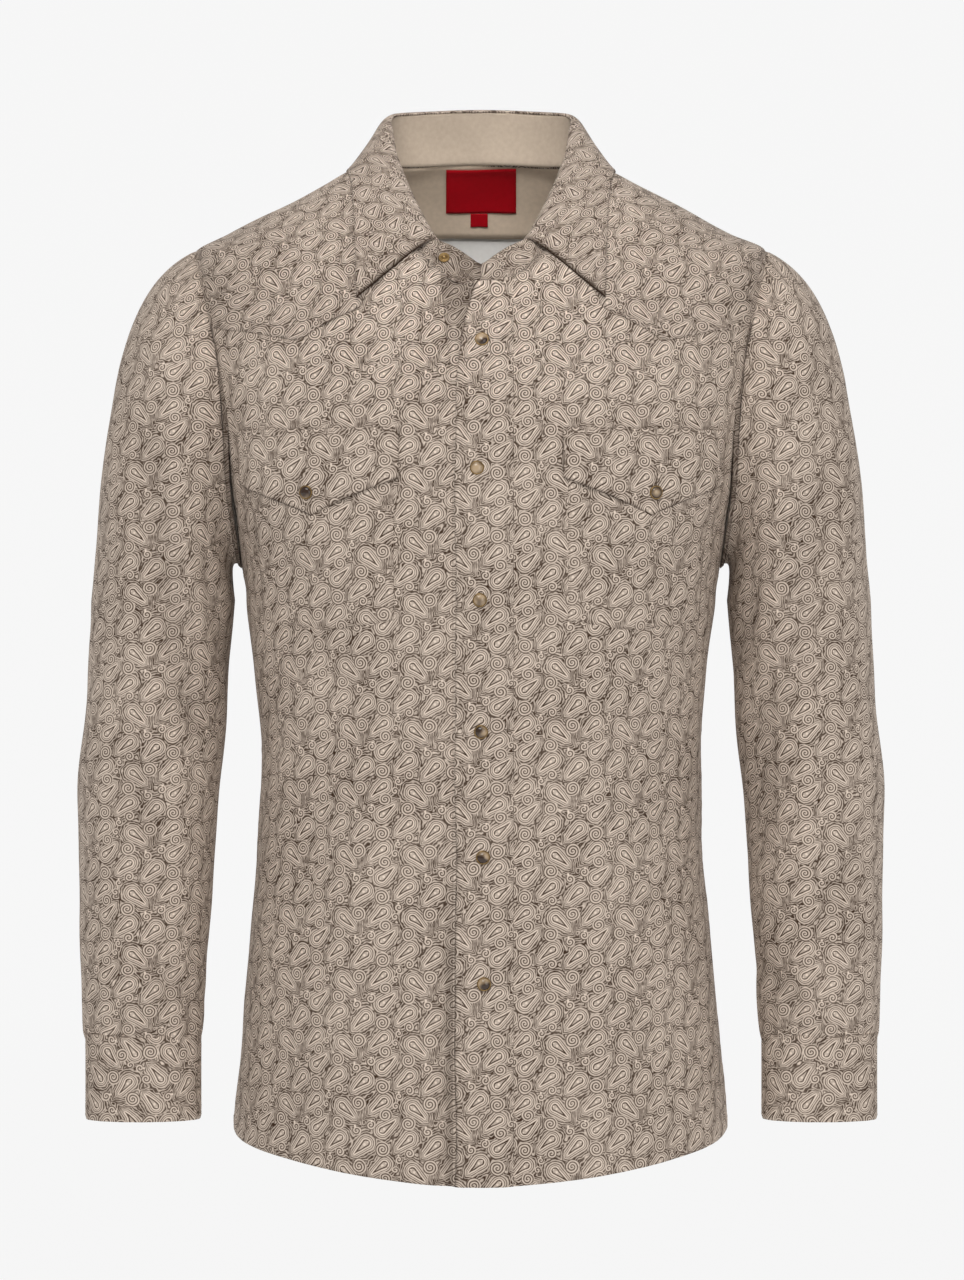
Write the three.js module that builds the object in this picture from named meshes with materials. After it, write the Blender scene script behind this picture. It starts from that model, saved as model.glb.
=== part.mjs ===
import * as THREE from 'three';

// A long-sleeved western snap shirt, filled out as if worn and empty inside.
// Millimetres. +Z up, the front faces -Y, +X is the wearer's left. The origin is in the middle
// of the neck hole, level with the shoulders beside the collar.

const PLY = 1.2;        // wall of one layer of cloth
const GAP = 0.3;        // between pieces at a seam
const LAY = 0.9;        // between layers, which clears the facets of the curved one below
const ARMHOLE_STEP = 15; // degrees between points round an armhole and a sleeve
const SEAM_ANGLE = 0.06; // degrees from the side of the trunk to the edge of a panel

// The trunk is a stack of closed rings. Each row is one ring: its height at the side, half width,
// depth in front and behind, how far it falls in front and rises behind, how sharply it falls,
// and its roundness (2 is an ellipse, more is squarer). The last row only guides the slope.
const TRUNK = [
  { h: -760, width: 192, front: 130, back: 120, fall: -34, rise: -26, bend: 1.1, round: 2.3 },
  { h: -741, width: 192, front: 130, back: 120, fall: -35, rise: -28, bend: 1.1, round: 2.3 },
  { h: -683, width: 187, front: 129, back: 119, fall: -18, rise: -15, bend: 1.2, round: 2.3 },
  { h: -604, width: 180, front: 127, back: 116, fall: -4, rise: -4, bend: 1.6, round: 2.3 },
  { h: -506, width: 172.3, front: 125, back: 114, fall: 0, rise: 0, bend: 2, round: 2.3 },
  { h: -447, width: 171, front: 127, back: 117, fall: 0, rise: 0, bend: 2, round: 2.3 },
  { h: -389, width: 176, front: 132, back: 124, fall: 0, rise: 0, bend: 2, round: 2.3 },
  { h: -330, width: 184.5, front: 137, back: 133, fall: 0, rise: 0, bend: 2, round: 2.4 },
  { h: -300, width: 190.5, front: 139, back: 137, fall: -1, rise: 0, bend: 2, round: 2.4 },
  { h: -240, width: 204, front: 139, back: 140, fall: -6, rise: 0, bend: 2, round: 2.6 },
  { h: -178, width: 213, front: 135, back: 138, fall: -15, rise: 0, bend: 2, round: 2.6 },
  { h: -140, width: 217, front: 129, back: 133, fall: -25, rise: 4, bend: 2, round: 2.6 },
  { h: -100, width: 222, front: 122, back: 124, fall: -40, rise: 8, bend: 2, round: 2.6 },
  { h: -57, width: 223, front: 114, back: 112, fall: -60, rise: 15, bend: 2, round: 2.6 },
  { h: -44, width: 196, front: 112, back: 106, fall: -67, rise: 14, bend: 2, round: 2.5 },
  { h: -25, width: 158, front: 110, back: 97, fall: -79, rise: 12, bend: 2.1, round: 2.4 },
  { h: -6, width: 122, front: 108, back: 86, fall: -90, rise: 9, bend: 2.2, round: 2.3 },
  { h: 5, width: 102, front: 106.5, back: 79, fall: -97, rise: 7, bend: 2.3, round: 2.3 },
  { h: 14, width: 80, front: 105, back: 70, fall: -104, rise: 6, bend: 2.3, round: 2.3 },
  { h: 24, width: 62, front: 103, back: 61, fall: -111, rise: 5, bend: 2.3, round: 2.3 },
];
const HEM = -741;
const NECK = 14;

// Armhole: an oval round each side of the trunk, by height and by angle.
const ARMHOLE = { middle: -178.5, half: 121.5, spread: 18 };
const YOKE_AT_ARMHOLE = 60; // degrees from the top of the armhole to the end of the yoke seam

// Front yoke seam, from the neck to the armhole, seen from the front: x outward, z up.
const YOKE_NECK_ANGLE = 38;
const FRONT_YOKE = [
  { x: 80, z: -84 }, { x: 92.3, z: -107.8 }, { x: 114, z: -118 }, { x: 139.3, z: -133 },
  { x: 177, z: -125 },
];
const BACK_YOKE = { side: -128, point: -152 }; // heights of the seam at 3/4 out and at its point

// Sleeve rings below the armhole: height, outer and inner side seen from the front, front, back.
const SLEEVE = [
  { z: -330, outer: 304.6, inner: 194, front: -70, back: 66 },
  { z: -408, outer: 309, inner: 199.5, front: -67, back: 58 },
  { z: -487, outer: 314, inner: 207, front: -66, back: 50 },
  { z: -565, outer: 313, inner: 211, front: -70, back: 36 },
  { z: -630, outer: 310, inner: 215.5, front: -71, back: 22 },
  { z: -656, outer: 308, inner: 218, front: -67, back: 12 },
  { z: -669, outer: 306.5, inner: 220, front: -62, back: 5 },
];
const CUFF = { top: -669, bottom: -733, outer: 306.5, inner: 220.5, front: -62, back: 4 };
const CUFF_LAP = { start: -60, end: 345, tuck: 1.7 }; // degrees round the wrist; the lap is tucked in
const SLEEVE_PLACKET = { from: 300, to: 318, top: -540, bottom: -667 };

// Collar: the stand rises from the neck ring to its top edge, and the leaf folds over from there
// to its free edge. angle is round the neck ring, 0 in front and 180 behind.
const COLLAR = [
  { angle: 1.5, top: [1.5, -95, -78] },
  { angle: 7, top: [11.5, -92, -66] },
  { angle: 13, top: [22, -88.5, -58.5] },
  { angle: 20, top: [33.7, -84, -53], edge: { x: 94.4, z: -102 } },
  { angle: 30, top: [44.7, -72, -35.5], edge: { x: 95.8, z: -76 } },
  { angle: 42, top: [55, -53, -14.5], edge: { x: 97, z: -48 } },
  { angle: 52, top: [61.5, -36, 1], edge: { x: 98, z: -28 } },
  { angle: 67.2, top: [67.5, -15, 17.5], edge: { x: 99, z: -10 } },
  { angle: 73, top: [69, -9, 23], lies: { angle: 75, h: 4 } },
  { angle: 80, top: [70.4, 0, 31], lies: { angle: 83, h: 4.5 } },
  { angle: 90, top: [71.5, 10, 39], lies: { angle: 92, h: 4 } },
  { angle: 105, top: [73.3, 28, 50], lies: { angle: 112, h: 3.5 } },
  { angle: 120, top: [68.5, 44, 56], lies: { angle: 130, h: 3 } },
  { angle: 135, top: [55, 55.5, 58.5], lies: { angle: 145, h: 2 } },
  { angle: 150, top: [38, 62.5, 60], lies: { angle: 157, h: 1 } },
  { angle: 165, top: [19.5, 66.5, 61.3], lies: { angle: 168.5, h: 0 } },
  { angle: 180, top: [0, 68, 61.8], lies: { angle: 180, h: 0 } },
];
const LEAF_LIFT = 3.6;  // free edge of the leaf above the cloth that it lies on
const LEAF_PLY = 1.4;

// Closing edge. The outer strip's free edge swings out to the right at the neck.
const FREE_EDGE = [
  { z: -180, x: -18.9 }, { z: -115, x: -11.5 }, { z: -92, x: -5.5 }, { z: -70, x: -2.5 },
];
const OUTER_STRIP_INNER_EDGE = 24.5;
const UNDERLAP = { left: -21, right: 18.5, leftAtNeck: -31 };
const FRONT_EDGE = { left: 19.5, right: 1 }; // each front panel's own edge, outward from the middle

const POCKET = { inner: 66, outerTop: 182, outerBottom: 168, top: -207, side: -346, point: -354 };
const FLAP = { inner: 62.5, outer: 187, top: -201, innerEnd: -238, outerEnd: -241, pointX: 128, point: -266 };
const LABEL = { halfWidth: 28.5, top: 14, bottom: -20 };
const TAB = { left: -8.5, right: 5.5, top: -20.4, bottom: -30.5 };
const FACING = { bottom: -36, halfWidth: 112 };

const SNAP = { radius: 5.4, rim: 1.0, height: 3.4 };
const STUD = { radius: 4.4, rim: 0.8, height: 3.2, x: -25, up: 0.45, angle: 12 };
const CLOSURE_SNAPS = [
  { x: 0.7, z: -134 }, { x: -3, z: -231 }, { x: -0.8, z: -330.5 },
  { x: 0, z: -430.5 }, { x: 1.5, z: -526 }, { x: 2.3, z: -622 },
];
const FLAP_SNAP = { x: 131, z: -248.5 };

const cloth = (color, roughness = 0.92) =>
  new THREE.MeshStandardMaterial({ color, roughness, metalness: 0 });
const PRINT = cloth(0xa3958a);
const TAN = cloth(0xc2b295);
const RED = cloth(0xb01822, 0.8);
const PEARL = new THREE.MeshStandardMaterial({ color: 0x8a7a55, roughness: 0.15, metalness: 0.3 });
const BRASS = new THREE.MeshStandardMaterial({ color: 0xb08a3c, roughness: 0.3, metalness: 1 });

const rad = THREE.MathUtils.degToRad;
const lerp = THREE.MathUtils.lerp;
const shirt = new THREE.Group();
shirt.name = 'western_snap_shirt';

// ----- Curves through tables -----

// Value of a column at a key, on a smooth curve that never swings past its rows.
function column(rows, key, at, name) {
  const up = rows[rows.length - 1][key] > rows[0][key] ? 1 : -1;
  let i = 0;
  while (i < rows.length - 2 && (at - rows[i + 1][key]) * up > 0) i++;
  const step = (k) => (rows[k + 1][name] - rows[k][name]) / (rows[k + 1][key] - rows[k][key]);
  const slope = (k) => {
    if (k === 0) return step(0);
    if (k === rows.length - 1) return step(k - 1);
    const [p, q] = [step(k - 1), step(k)];
    return p * q > 0 ? (2 * p * q) / (p + q) : 0;
  };
  const span = rows[i + 1][key] - rows[i][key];
  const t = THREE.MathUtils.clamp((at - rows[i][key]) / span, 0, 1);
  const [t2, t3] = [t * t, t * t * t];
  return (2 * t3 - 3 * t2 + 1) * rows[i][name] + (t3 - 2 * t2 + t) * span * slope(i)
    + (3 * t2 - 2 * t3) * rows[i + 1][name] + (t3 - t2) * span * slope(i + 1);
}

// Ends of n steps from a to b: equal, or finer towards a with a power above 1.
const steps = (a, b, n, power = 1) =>
  Array.from({ length: n + 1 }, (_, i) => lerp(a, b, (i / n) ** power));

// ----- The trunk's surface -----

const ringCache = new Map();
function ring(h) {
  if (!ringCache.has(h)) {
    const names = ['width', 'front', 'back', 'fall', 'rise', 'bend', 'round'];
    ringCache.set(h, Object.fromEntries(names.map((name) => [name, column(TRUNK, 'h', h, name)])));
  }
  return ringCache.get(h);
}

// Point at an angle round the trunk (0 front, 90 the wearer's left, 180 back) on the ring at h.
function trunkBase(angle, h) {
  const r = ring(h);
  const [c, s] = [Math.cos(rad(angle)), Math.sin(rad(angle))];
  const depth = c > 0 ? r.front : r.back;
  const drop = (c > 0 ? r.fall : r.rise) * Math.abs(c) ** r.bend;
  const reach = (Math.abs(c / depth) ** r.round + Math.abs(s / r.width) ** r.round) ** (-1 / r.round);
  return new THREE.Vector3(reach * s, -reach * c, h + drop);
}

// The same, moved out along the surface's own normal.
function trunk(angle, h, out = 0) {
  const round = trunkBase(angle + 0.2, h).sub(trunkBase(angle - 0.2, h));
  const rise = trunkBase(angle, h + 0.5).sub(trunkBase(angle, h - 0.5));
  return trunkBase(angle, h).addScaledVector(round.cross(rise).normalize(), out);
}

// Angle at which the ring at h passes a given x, in front or behind.
function angleAt(x, h, behind = false) {
  const r = ring(h);
  const share = Math.min(Math.abs(x) / r.width, 1);
  const depth = (behind ? r.back : r.front) * (1 - share ** r.round) ** (1 / r.round);
  const angle = THREE.MathUtils.radToDeg(Math.atan2(Math.abs(x), depth));
  return Math.sign(x || 1) * (behind ? 180 - angle : angle);
}

// Angle and ring of the point seen at x, z from straight in front or straight behind.
function seen(x, z, behind = false) {
  let [low, high] = [TRUNK[0].h, TRUNK[TRUNK.length - 1].h];
  for (let i = 0; i < 40; i++) {
    const h = (low + high) / 2;
    if (trunkBase(angleAt(x, h, behind), h).z < z) low = h; else high = h;
  }
  return [angleAt(x, low, behind), low];
}

// Point of an armhole, phi degrees from its top towards the front. grow widens the oval.
const armhole = (phi, grow = 0) => [
  90 - (ARMHOLE.spread + grow / 3.4) * Math.sin(rad(phi)),
  ARMHOLE.middle + (ARMHOLE.half + grow) * Math.cos(rad(phi)),
];

// Moves a point above the shoulder or chest out along the normal until it clears the surface.
function clear(p, lift) {
  const angle = THREE.MathUtils.radToDeg(Math.atan2(p.x, -p.y));
  let [low, high] = [-140, TRUNK[TRUNK.length - 1].h];
  const reach = (h) => { const q = trunkBase(angle, h); return Math.hypot(q.x, q.y); };
  if (Math.hypot(p.x, p.y) < reach(NECK)) return p;
  for (let i = 0; i < 30; i++) {
    const h = (low + high) / 2;
    if (reach(h) > Math.hypot(p.x, p.y)) low = h; else high = h;
  }
  const foot = trunkBase(angle, low);
  const normal = trunk(angle, low, 1).sub(foot);
  const gap = (p.z - foot.z) * normal.z;
  return gap < lift ? p.addScaledVector(normal, lift - gap) : p;
}

const ARMHOLE_EDGE = PLY + 2 * GAP; // the body's edge lies this far outside the sleeve's first ring

// ----- Solids from grids of points -----

// Fills a four-sided patch in angle and ring from lists of points along its sides.
function patch(bottom, top, left, right) {
  const [nu, nv] = [bottom.length - 1, left.length - 1];
  return bottom.map((_, i) => left.map((__, j) => [0, 1].map((k) => {
    const [u, v] = [i / nu, j / nv];
    const across = lerp(left[j][k], right[j][k], u);
    const along = lerp(bottom[i][k], top[i][k], v);
    const corners = lerp(lerp(left[0][k], right[0][k], u), lerp(left[nv][k], right[nv][k], u), v);
    return across + along - corners;
  })));
}

// Closed wall between an inner and an outer grid of the same size. round closes it on itself.
function wall(inner, outer, round = false) {
  const [nu, nv] = [inner.length, inner[0].length];
  const at = (side, i, j) => (side * nu + (i % nu)) * nv + j;
  const index = [];
  const quad = (a, b, c, d) => index.push(a, b, c, a, c, d);
  const last = round ? nu : nu - 1;
  for (let i = 0; i < last; i++) {
    for (let j = 0; j < nv - 1; j++) {
      quad(at(1, i, j), at(1, i + 1, j), at(1, i + 1, j + 1), at(1, i, j + 1));
      quad(at(0, i, j), at(0, i, j + 1), at(0, i + 1, j + 1), at(0, i + 1, j));
    }
    quad(at(0, i, 0), at(0, i + 1, 0), at(1, i + 1, 0), at(1, i, 0));
    quad(at(1, i, nv - 1), at(1, i + 1, nv - 1), at(0, i + 1, nv - 1), at(0, i, nv - 1));
  }
  for (let j = 0; !round && j < nv - 1; j++) {
    quad(at(0, 0, j), at(1, 0, j), at(1, 0, j + 1), at(0, 0, j + 1));
    quad(at(1, nu - 1, j), at(0, nu - 1, j), at(0, nu - 1, j + 1), at(1, nu - 1, j + 1));
  }
  const points = [...inner.flat(), ...outer.flat()];
  let volume = 0;
  for (let i = 0; i < index.length; i += 3) {
    const [a, b, c] = [points[index[i]], points[index[i + 1]], points[index[i + 2]]];
    volume += a.dot(b.clone().cross(c));
  }
  if (volume < 0) index.reverse();
  const geometry = new THREE.BufferGeometry();
  geometry.setAttribute('position', new THREE.Float32BufferAttribute(points.flatMap((p) => [p.x, p.y, p.z]), 3));
  geometry.setIndex(index);
  geometry.computeVertexNormals();
  return geometry;
}

// Wall on the trunk's surface, between two distances out from it. side -1 mirrors the piece.
function onTrunk(grid, from, to, side = 1) {
  const layer = (out) => grid.map((row) => row.map(([angle, h]) => trunk(side * angle, h, out)));
  return wall(layer(from), layer(to));
}

// Wall on any grid of points, offset along the grid's own normals. outward tells them apart.
function onGrid(points, from, to, outward, round = false) {
  const n = points.length;
  const pick = (i) => points[round ? (i + n) % n : THREE.MathUtils.clamp(i, 0, n - 1)];
  const normals = points.map((row, i) => row.map((p, j) => {
    const across = pick(i + 1)[j].clone().sub(pick(i - 1)[j]);
    const along = row[Math.min(j + 1, row.length - 1)].clone().sub(row[Math.max(j - 1, 0)]);
    const normal = across.cross(along).normalize();
    return normal.dot(outward(p)) < 0 ? normal.negate() : normal;
  }));
  const layer = (out) => points.map((row, i) => row.map((p, j) => p.clone().addScaledVector(normals[i][j], out)));
  return wall(layer(from), layer(to), round);
}

function add(name, geometry, material) {
  const mesh = new THREE.Mesh(geometry, material);
  mesh.name = name;
  shirt.add(mesh);
  return mesh;
}

// ----- Body: front and back panels, front and back yokes -----

// Points along an armhole's edge, between two angles that are whole steps apart.
const armholeEdge = (from, to, split = 1) =>
  steps(from, to, split * Math.abs(to - from) / ARMHOLE_STEP).map((phi) => armhole(phi, ARMHOLE_EDGE));

const SIDE_ROWS = 10;   // rows of the body below the armhole
const RIDGE = 6;        // columns along the top of the shoulder
const YOKE_ROWS = 8;    // rows of a yoke
const FRONT_NECK = 6;   // columns of a front panel along the neck
const BACK_NECK = 12;   // columns of the back yoke along the neck
const side = (turn) => 90 + turn * SEAM_ANGLE;
const shoulderTop = ARMHOLE.middle + ARMHOLE.half + ARMHOLE_EDGE;

// Seam lines as lists of angle and ring. shift keeps the pieces on its two sides apart.
const frontSeam = (shift) => [
  [YOKE_NECK_ANGLE, NECK - GAP + shift],
  ...FRONT_YOKE.map(({ x, z }) => seen(x, z)).map(([angle, h]) => [angle, h + shift]),
  armhole(YOKE_AT_ARMHOLE + (shift < 0 ? 0.15 : -0.15), ARMHOLE_EDGE),
];
function backSeam(shift) {
  const n = RIDGE + BACK_NECK / 2;
  const start = armhole(-YOKE_AT_ARMHOLE + (shift < 0 ? -0.15 : 0.15), ARMHOLE_EDGE);
  const half = steps(0, 1, n).map((t, i) => {
    if (i === 0) return start;
    const x = lerp(200, 0, t);
    const z = t < 0.25 ? lerp(-121, BACK_YOKE.side, t / 0.25)
      : lerp(BACK_YOKE.side, BACK_YOKE.point, (t - 0.25) / 0.75);
    const [angle, h] = seen(x || 1e-6, z, true);
    return [angle, h + shift];
  });
  return [...half, ...half.slice(0, -1).reverse().map(([angle, h]) => [360 - angle, h])];
}

for (const [name, sign] of [['left', 1], ['right', -1]]) {
  const centre = FRONT_EDGE[name];
  const armEdge = armholeEdge(180, YOKE_AT_ARMHOLE);
  const outerEdge = [
    ...steps(HEM, armEdge[0][1], SIDE_ROWS).map((h) => [side(-1), h]),
    ...armEdge.slice(1),
  ];
  const seam = frontSeam(-GAP / 2);
  outerEdge[outerEdge.length - 1] = seam[seam.length - 1];
  const innerEdge = steps(HEM, NECK - GAP, outerEdge.length - 1).map((h) => [angleAt(centre, h), h]);
  const top = [
    ...steps(innerEdge[innerEdge.length - 1][0], YOKE_NECK_ANGLE, FRONT_NECK).map((a) => [a, NECK - GAP]),
    ...seam.slice(1),
  ];
  const hem = steps(innerEdge[0][0], side(-1), top.length - 1).map((angle) => [angle, HEM]);
  add(`front_panel_${name}`, onTrunk(patch(hem, top, innerEdge, outerEdge), 0, PLY, sign), PRINT);

  const yokeSeam = frontSeam(GAP);
  yokeSeam[0] = [YOKE_NECK_ANGLE + 0.25, NECK - GAP];
  const ridge = steps(NECK - GAP, shoulderTop, RIDGE, 1.5).map((h) => [side(-1), h]);
  const neck = steps(YOKE_NECK_ANGLE + 0.25, side(-1), YOKE_ROWS).map((angle) => [angle, NECK - GAP]);
  const armSide = armholeEdge(YOKE_AT_ARMHOLE, 0, 2);
  armSide[0] = yokeSeam[yokeSeam.length - 1];
  armSide[armSide.length - 1] = ridge[ridge.length - 1];
  add(`front_yoke_${name}`, onTrunk(patch(yokeSeam, ridge, neck, armSide), 0, PLY, sign), PRINT);
}

{
  const mirrored = (list) => list.map(([angle, h]) => [360 - angle, h]);
  const armEdge = armholeEdge(-180, -YOKE_AT_ARMHOLE);
  const seam = backSeam(-GAP / 2);
  const edge = [
    ...steps(HEM, armEdge[0][1], SIDE_ROWS).map((h) => [side(1), h]),
    ...armEdge.slice(1, -1), seam[0],
  ];
  const hem = steps(side(1), 360 - side(1), seam.length - 1).map((angle) => [angle, HEM]);
  add('back_panel', onTrunk(patch(hem, seam, edge, mirrored(edge)), 0, PLY), PRINT);

  const yokeSeam = backSeam(GAP);
  const ridge = steps(NECK - GAP, shoulderTop, RIDGE, 1.5).reverse().map((h) => [side(1), h]);
  const neck = steps(side(1), 360 - side(1), BACK_NECK).map((angle) => [angle, NECK - GAP]);
  const top = [...ridge, ...neck.slice(1), ...mirrored(ridge).reverse().slice(1)];
  const armSide = armholeEdge(-YOKE_AT_ARMHOLE, 0, 2);
  armSide[0] = yokeSeam[0];
  armSide[armSide.length - 1] = ridge[0];
  add('back_yoke', onTrunk(patch(yokeSeam, top, armSide, mirrored(armSide)), 0, PLY), PRINT);
}

// Facing inside the back of the neck, with a straight lower edge, and the label sewn to it.
{
  const columns = 20;
  const across = steps(FACING.halfWidth, -FACING.halfWidth, columns);
  const low = across.map((x) => seen(x || 1e-6, FACING.bottom, true)).map(([a, h]) => [a < 0 ? a + 360 : a, h]);
  const neck = steps(108, 252, columns).map((angle) => [angle, NECK - GAP]);
  const rows = 4;
  const leftEdge = steps(0, 1, rows).map((t) => low[0].map((value, k) => lerp(value, neck[0][k], t)));
  const rightEdge = leftEdge.map(([angle, h]) => [360 - angle, h]);
  add('yoke_facing', onTrunk(patch(low, neck, leftEdge, rightEdge), -1.8 * LAY - PLY, -1.8 * LAY), TAN);

  // A flat piece on the back, seen at x and z through the neck.
  const behind = (left, right, top, bottom, nu, nv) => steps(right, left, nu).map((x) =>
    steps(bottom, top, nv).map((z) => seen(x || 1e-6, z, true)));
  const depth = 2.7 * LAY + PLY;
  add('label', onTrunk(behind(-LABEL.halfWidth, LABEL.halfWidth, LABEL.top, LABEL.bottom, 6, 3),
    -depth - 0.6, -depth), RED);
  add('label_tab', onTrunk(behind(TAB.left, TAB.right, TAB.top, TAB.bottom, 2, 2),
    -depth - 0.6, -depth), RED);
}

// ----- Closing edge, pockets and flaps: layers on the front -----

// Grid on the front from a function that gives x and z for u, v.
const frontGrid = (nu, nv, place) => steps(0, 1, nu).map((u) =>
  steps(0, 1, nv).map((v) => seen(...place(u, v))));
const LAYER = (n) => n * (PLY + LAY); // outward distance of the nth layer's inner face

{
  const rows = 22;
  const freeEdge = (z) => column(FREE_EDGE, 'z', z, 'x');
  const strip = (leftAt, right) => steps(0, 1, 2).map((u) => steps(HEM, NECK - 0.6, rows).map((h) => {
    const z = h + ring(h).fall;
    return [angleAt(lerp(leftAt(z), right, u) || 1e-6, h), h];
  }));
  const underlapLeft = (z) => (z < -180 ? UNDERLAP.left
    : lerp(UNDERLAP.left, UNDERLAP.leftAtNeck, (z + 180) / 90));
  add('placket_right', onTrunk(strip(underlapLeft, UNDERLAP.right), LAYER(1), LAYER(1) + PLY), PRINT);
  add('placket_left', onTrunk(strip(freeEdge, OUTER_STRIP_INNER_EDGE), LAYER(2), LAYER(2) + PLY), PRINT);
}

for (const [name, sign] of [['left', 1], ['right', -1]]) {
  const point = (POCKET.inner + POCKET.outerBottom) / 2;
  const pocket = frontGrid(8, 5, (u, v) => {
    const x = lerp(POCKET.inner, lerp(POCKET.outerBottom, POCKET.outerTop, v), u);
    const low = lerp(POCKET.point, POCKET.side, Math.min(Math.abs(x - point) / 50, 1));
    return [x, lerp(low, POCKET.top, v)];
  });
  add(`pocket_${name}`, onTrunk(pocket, LAYER(1), LAYER(1) + PLY, sign), PRINT);

  // The flap's lower edge sweeps down from both ends to a soft point.
  const flap = frontGrid(12, 3, (u, v) => {
    const x = lerp(FLAP.inner, FLAP.outer, u);
    const inward = x < FLAP.pointX;
    const t = inward ? (FLAP.pointX - x) / (FLAP.pointX - FLAP.inner) : (x - FLAP.pointX) / (FLAP.outer - FLAP.pointX);
    const low = lerp(FLAP.point, inward ? FLAP.innerEnd : FLAP.outerEnd, t ** 0.85);
    return [x, lerp(low, FLAP.top, v)];
  });
  add(`flap_${name}`, onTrunk(flap, LAYER(2), LAYER(2) + PLY, sign), PRINT);
}

// ----- Sleeves and cuffs -----

const sleeveRow = (z) => Object.fromEntries(['outer', 'inner', 'front', 'back']
  .map((name) => [name, column(SLEEVE, 'z', z, name)]));

// Point of a sleeve's ring: phi 0 is outward, 90 front, 180 towards the body.
function onRing({ outer, inner, front, back }, phi, z, tuck = 0) {
  const [c, s] = [Math.cos(rad(phi)), Math.sin(rad(phi))];
  return new THREE.Vector3((outer + inner) / 2 + ((outer - inner) / 2 - tuck) * c,
    (front + back) / 2 + ((front - back) / 2 + tuck) * s, z);
}

// Sleeve head: from the armhole each line leaves outward and then turns down the arm.
function sleeveHead(phi, t) {
  const start = trunkBase(...armhole(phi));
  const end = onRing(SLEEVE[0], phi, SLEEVE[0].z);
  const high = (1 + Math.cos(rad(phi))) / 2;   // 1 at the top of the armhole, 0 under the arm
  const forward = Math.sin(rad(phi));
  const leave = start.clone().add(new THREE.Vector3(
    lerp(10, 60, high), -16 * forward, lerp(3, -27, high ** 2)));
  const arrive = end.clone().add(new THREE.Vector3(lerp(2, -18, high), 0, lerp(14, 178, high ** 1.3)));
  return new THREE.CubicBezierCurve3(start, leave, arrive, end).getPoint(t);
}

function sleeveLine(phi) {
  const head = steps(0, 1, 6).map((t) => sleeveHead(phi, t ** 1.2));
  const arm = steps(SLEEVE[0].z, SLEEVE[SLEEVE.length - 1].z + GAP, 9).slice(1)
    .map((z) => onRing(sleeveRow(z), phi, z));
  return [...head, ...arm];
}

const mirror = (geometry, sign) => {
  if (sign > 0) return geometry;
  geometry.scale(-1, 1, 1);
  geometry.setIndex(Array.from(geometry.index.array).reverse());
  geometry.computeVertexNormals();
  return geometry;
};

const fromArm = (p) => {
  const z = Math.min(p.z, SLEEVE[0].z);
  const row = sleeveRow(Math.max(z, SLEEVE[SLEEVE.length - 1].z));
  return new THREE.Vector3(p.x - (row.outer + row.inner) / 2, p.y - (row.front + row.back) / 2,
    Math.max(p.z - SLEEVE[0].z, 0));
};

for (const [name, sign] of [['left', 1], ['right', -1]]) {
  const round = steps(0, 360, 360 / ARMHOLE_STEP).slice(0, -1);
  add(`sleeve_${name}`, mirror(onGrid(round.map(sleeveLine), 0, PLY, fromArm, true), sign), PRINT);

  // The cuff is one band whose lower end is tucked under the upper one.
  const band = steps(CUFF_LAP.start, CUFF_LAP.end, 27).map((phi) => {
    const tuck = CUFF_LAP.tuck * (1 - THREE.MathUtils.smoothstep(phi, CUFF_LAP.start + 50, CUFF_LAP.start + 80));
    return steps(CUFF.bottom, CUFF.top - GAP, 2).map((z) => onRing(CUFF, phi, z, tuck));
  });
  add(`cuff_${name}`, mirror(onGrid(band, 0, PLY, fromArm), sign), PRINT);

  // Strip along the sleeve's slit, above the cuff at the back.
  const slit = steps(SLEEVE_PLACKET.from, SLEEVE_PLACKET.to, 3).map((phi) =>
    steps(SLEEVE_PLACKET.bottom, SLEEVE_PLACKET.top, 6).map((z) => onRing(sleeveRow(z), phi, z)));
  add(`sleeve_placket_${name}`, mirror(onGrid(slit, LAYER(1) + 0.3, LAYER(1) + 1.2, fromArm), sign), PRINT);
}

// ----- Collar -----

// The rows of one side and their mirror images, from the wearer's right front round to the left.
const collarRows = COLLAR.map((row) => {
  const foot = trunkBase(row.angle, NECK + 1.5);
  const top = new THREE.Vector3(...row.top);
  const away = new THREE.Vector3(Math.sin(rad(row.angle)), -Math.cos(rad(row.angle)), 0);
  let edge = null;
  if (row.edge) edge = trunk(...seen(row.edge.x, row.edge.z), LEAF_LIFT);
  if (row.lies) edge = trunk(row.lies.angle, row.lies.h, LEAF_LIFT);
  return { foot, top, away, edge };
});
const flip = (p) => (p ? new THREE.Vector3(-p.x, p.y, p.z) : null);
const collarRound = [
  ...collarRows.map((row) => Object.fromEntries(Object.entries(row).map(([k, p]) => [k, flip(p)]))),
  ...collarRows.slice(0, -1).reverse(),
];

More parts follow.
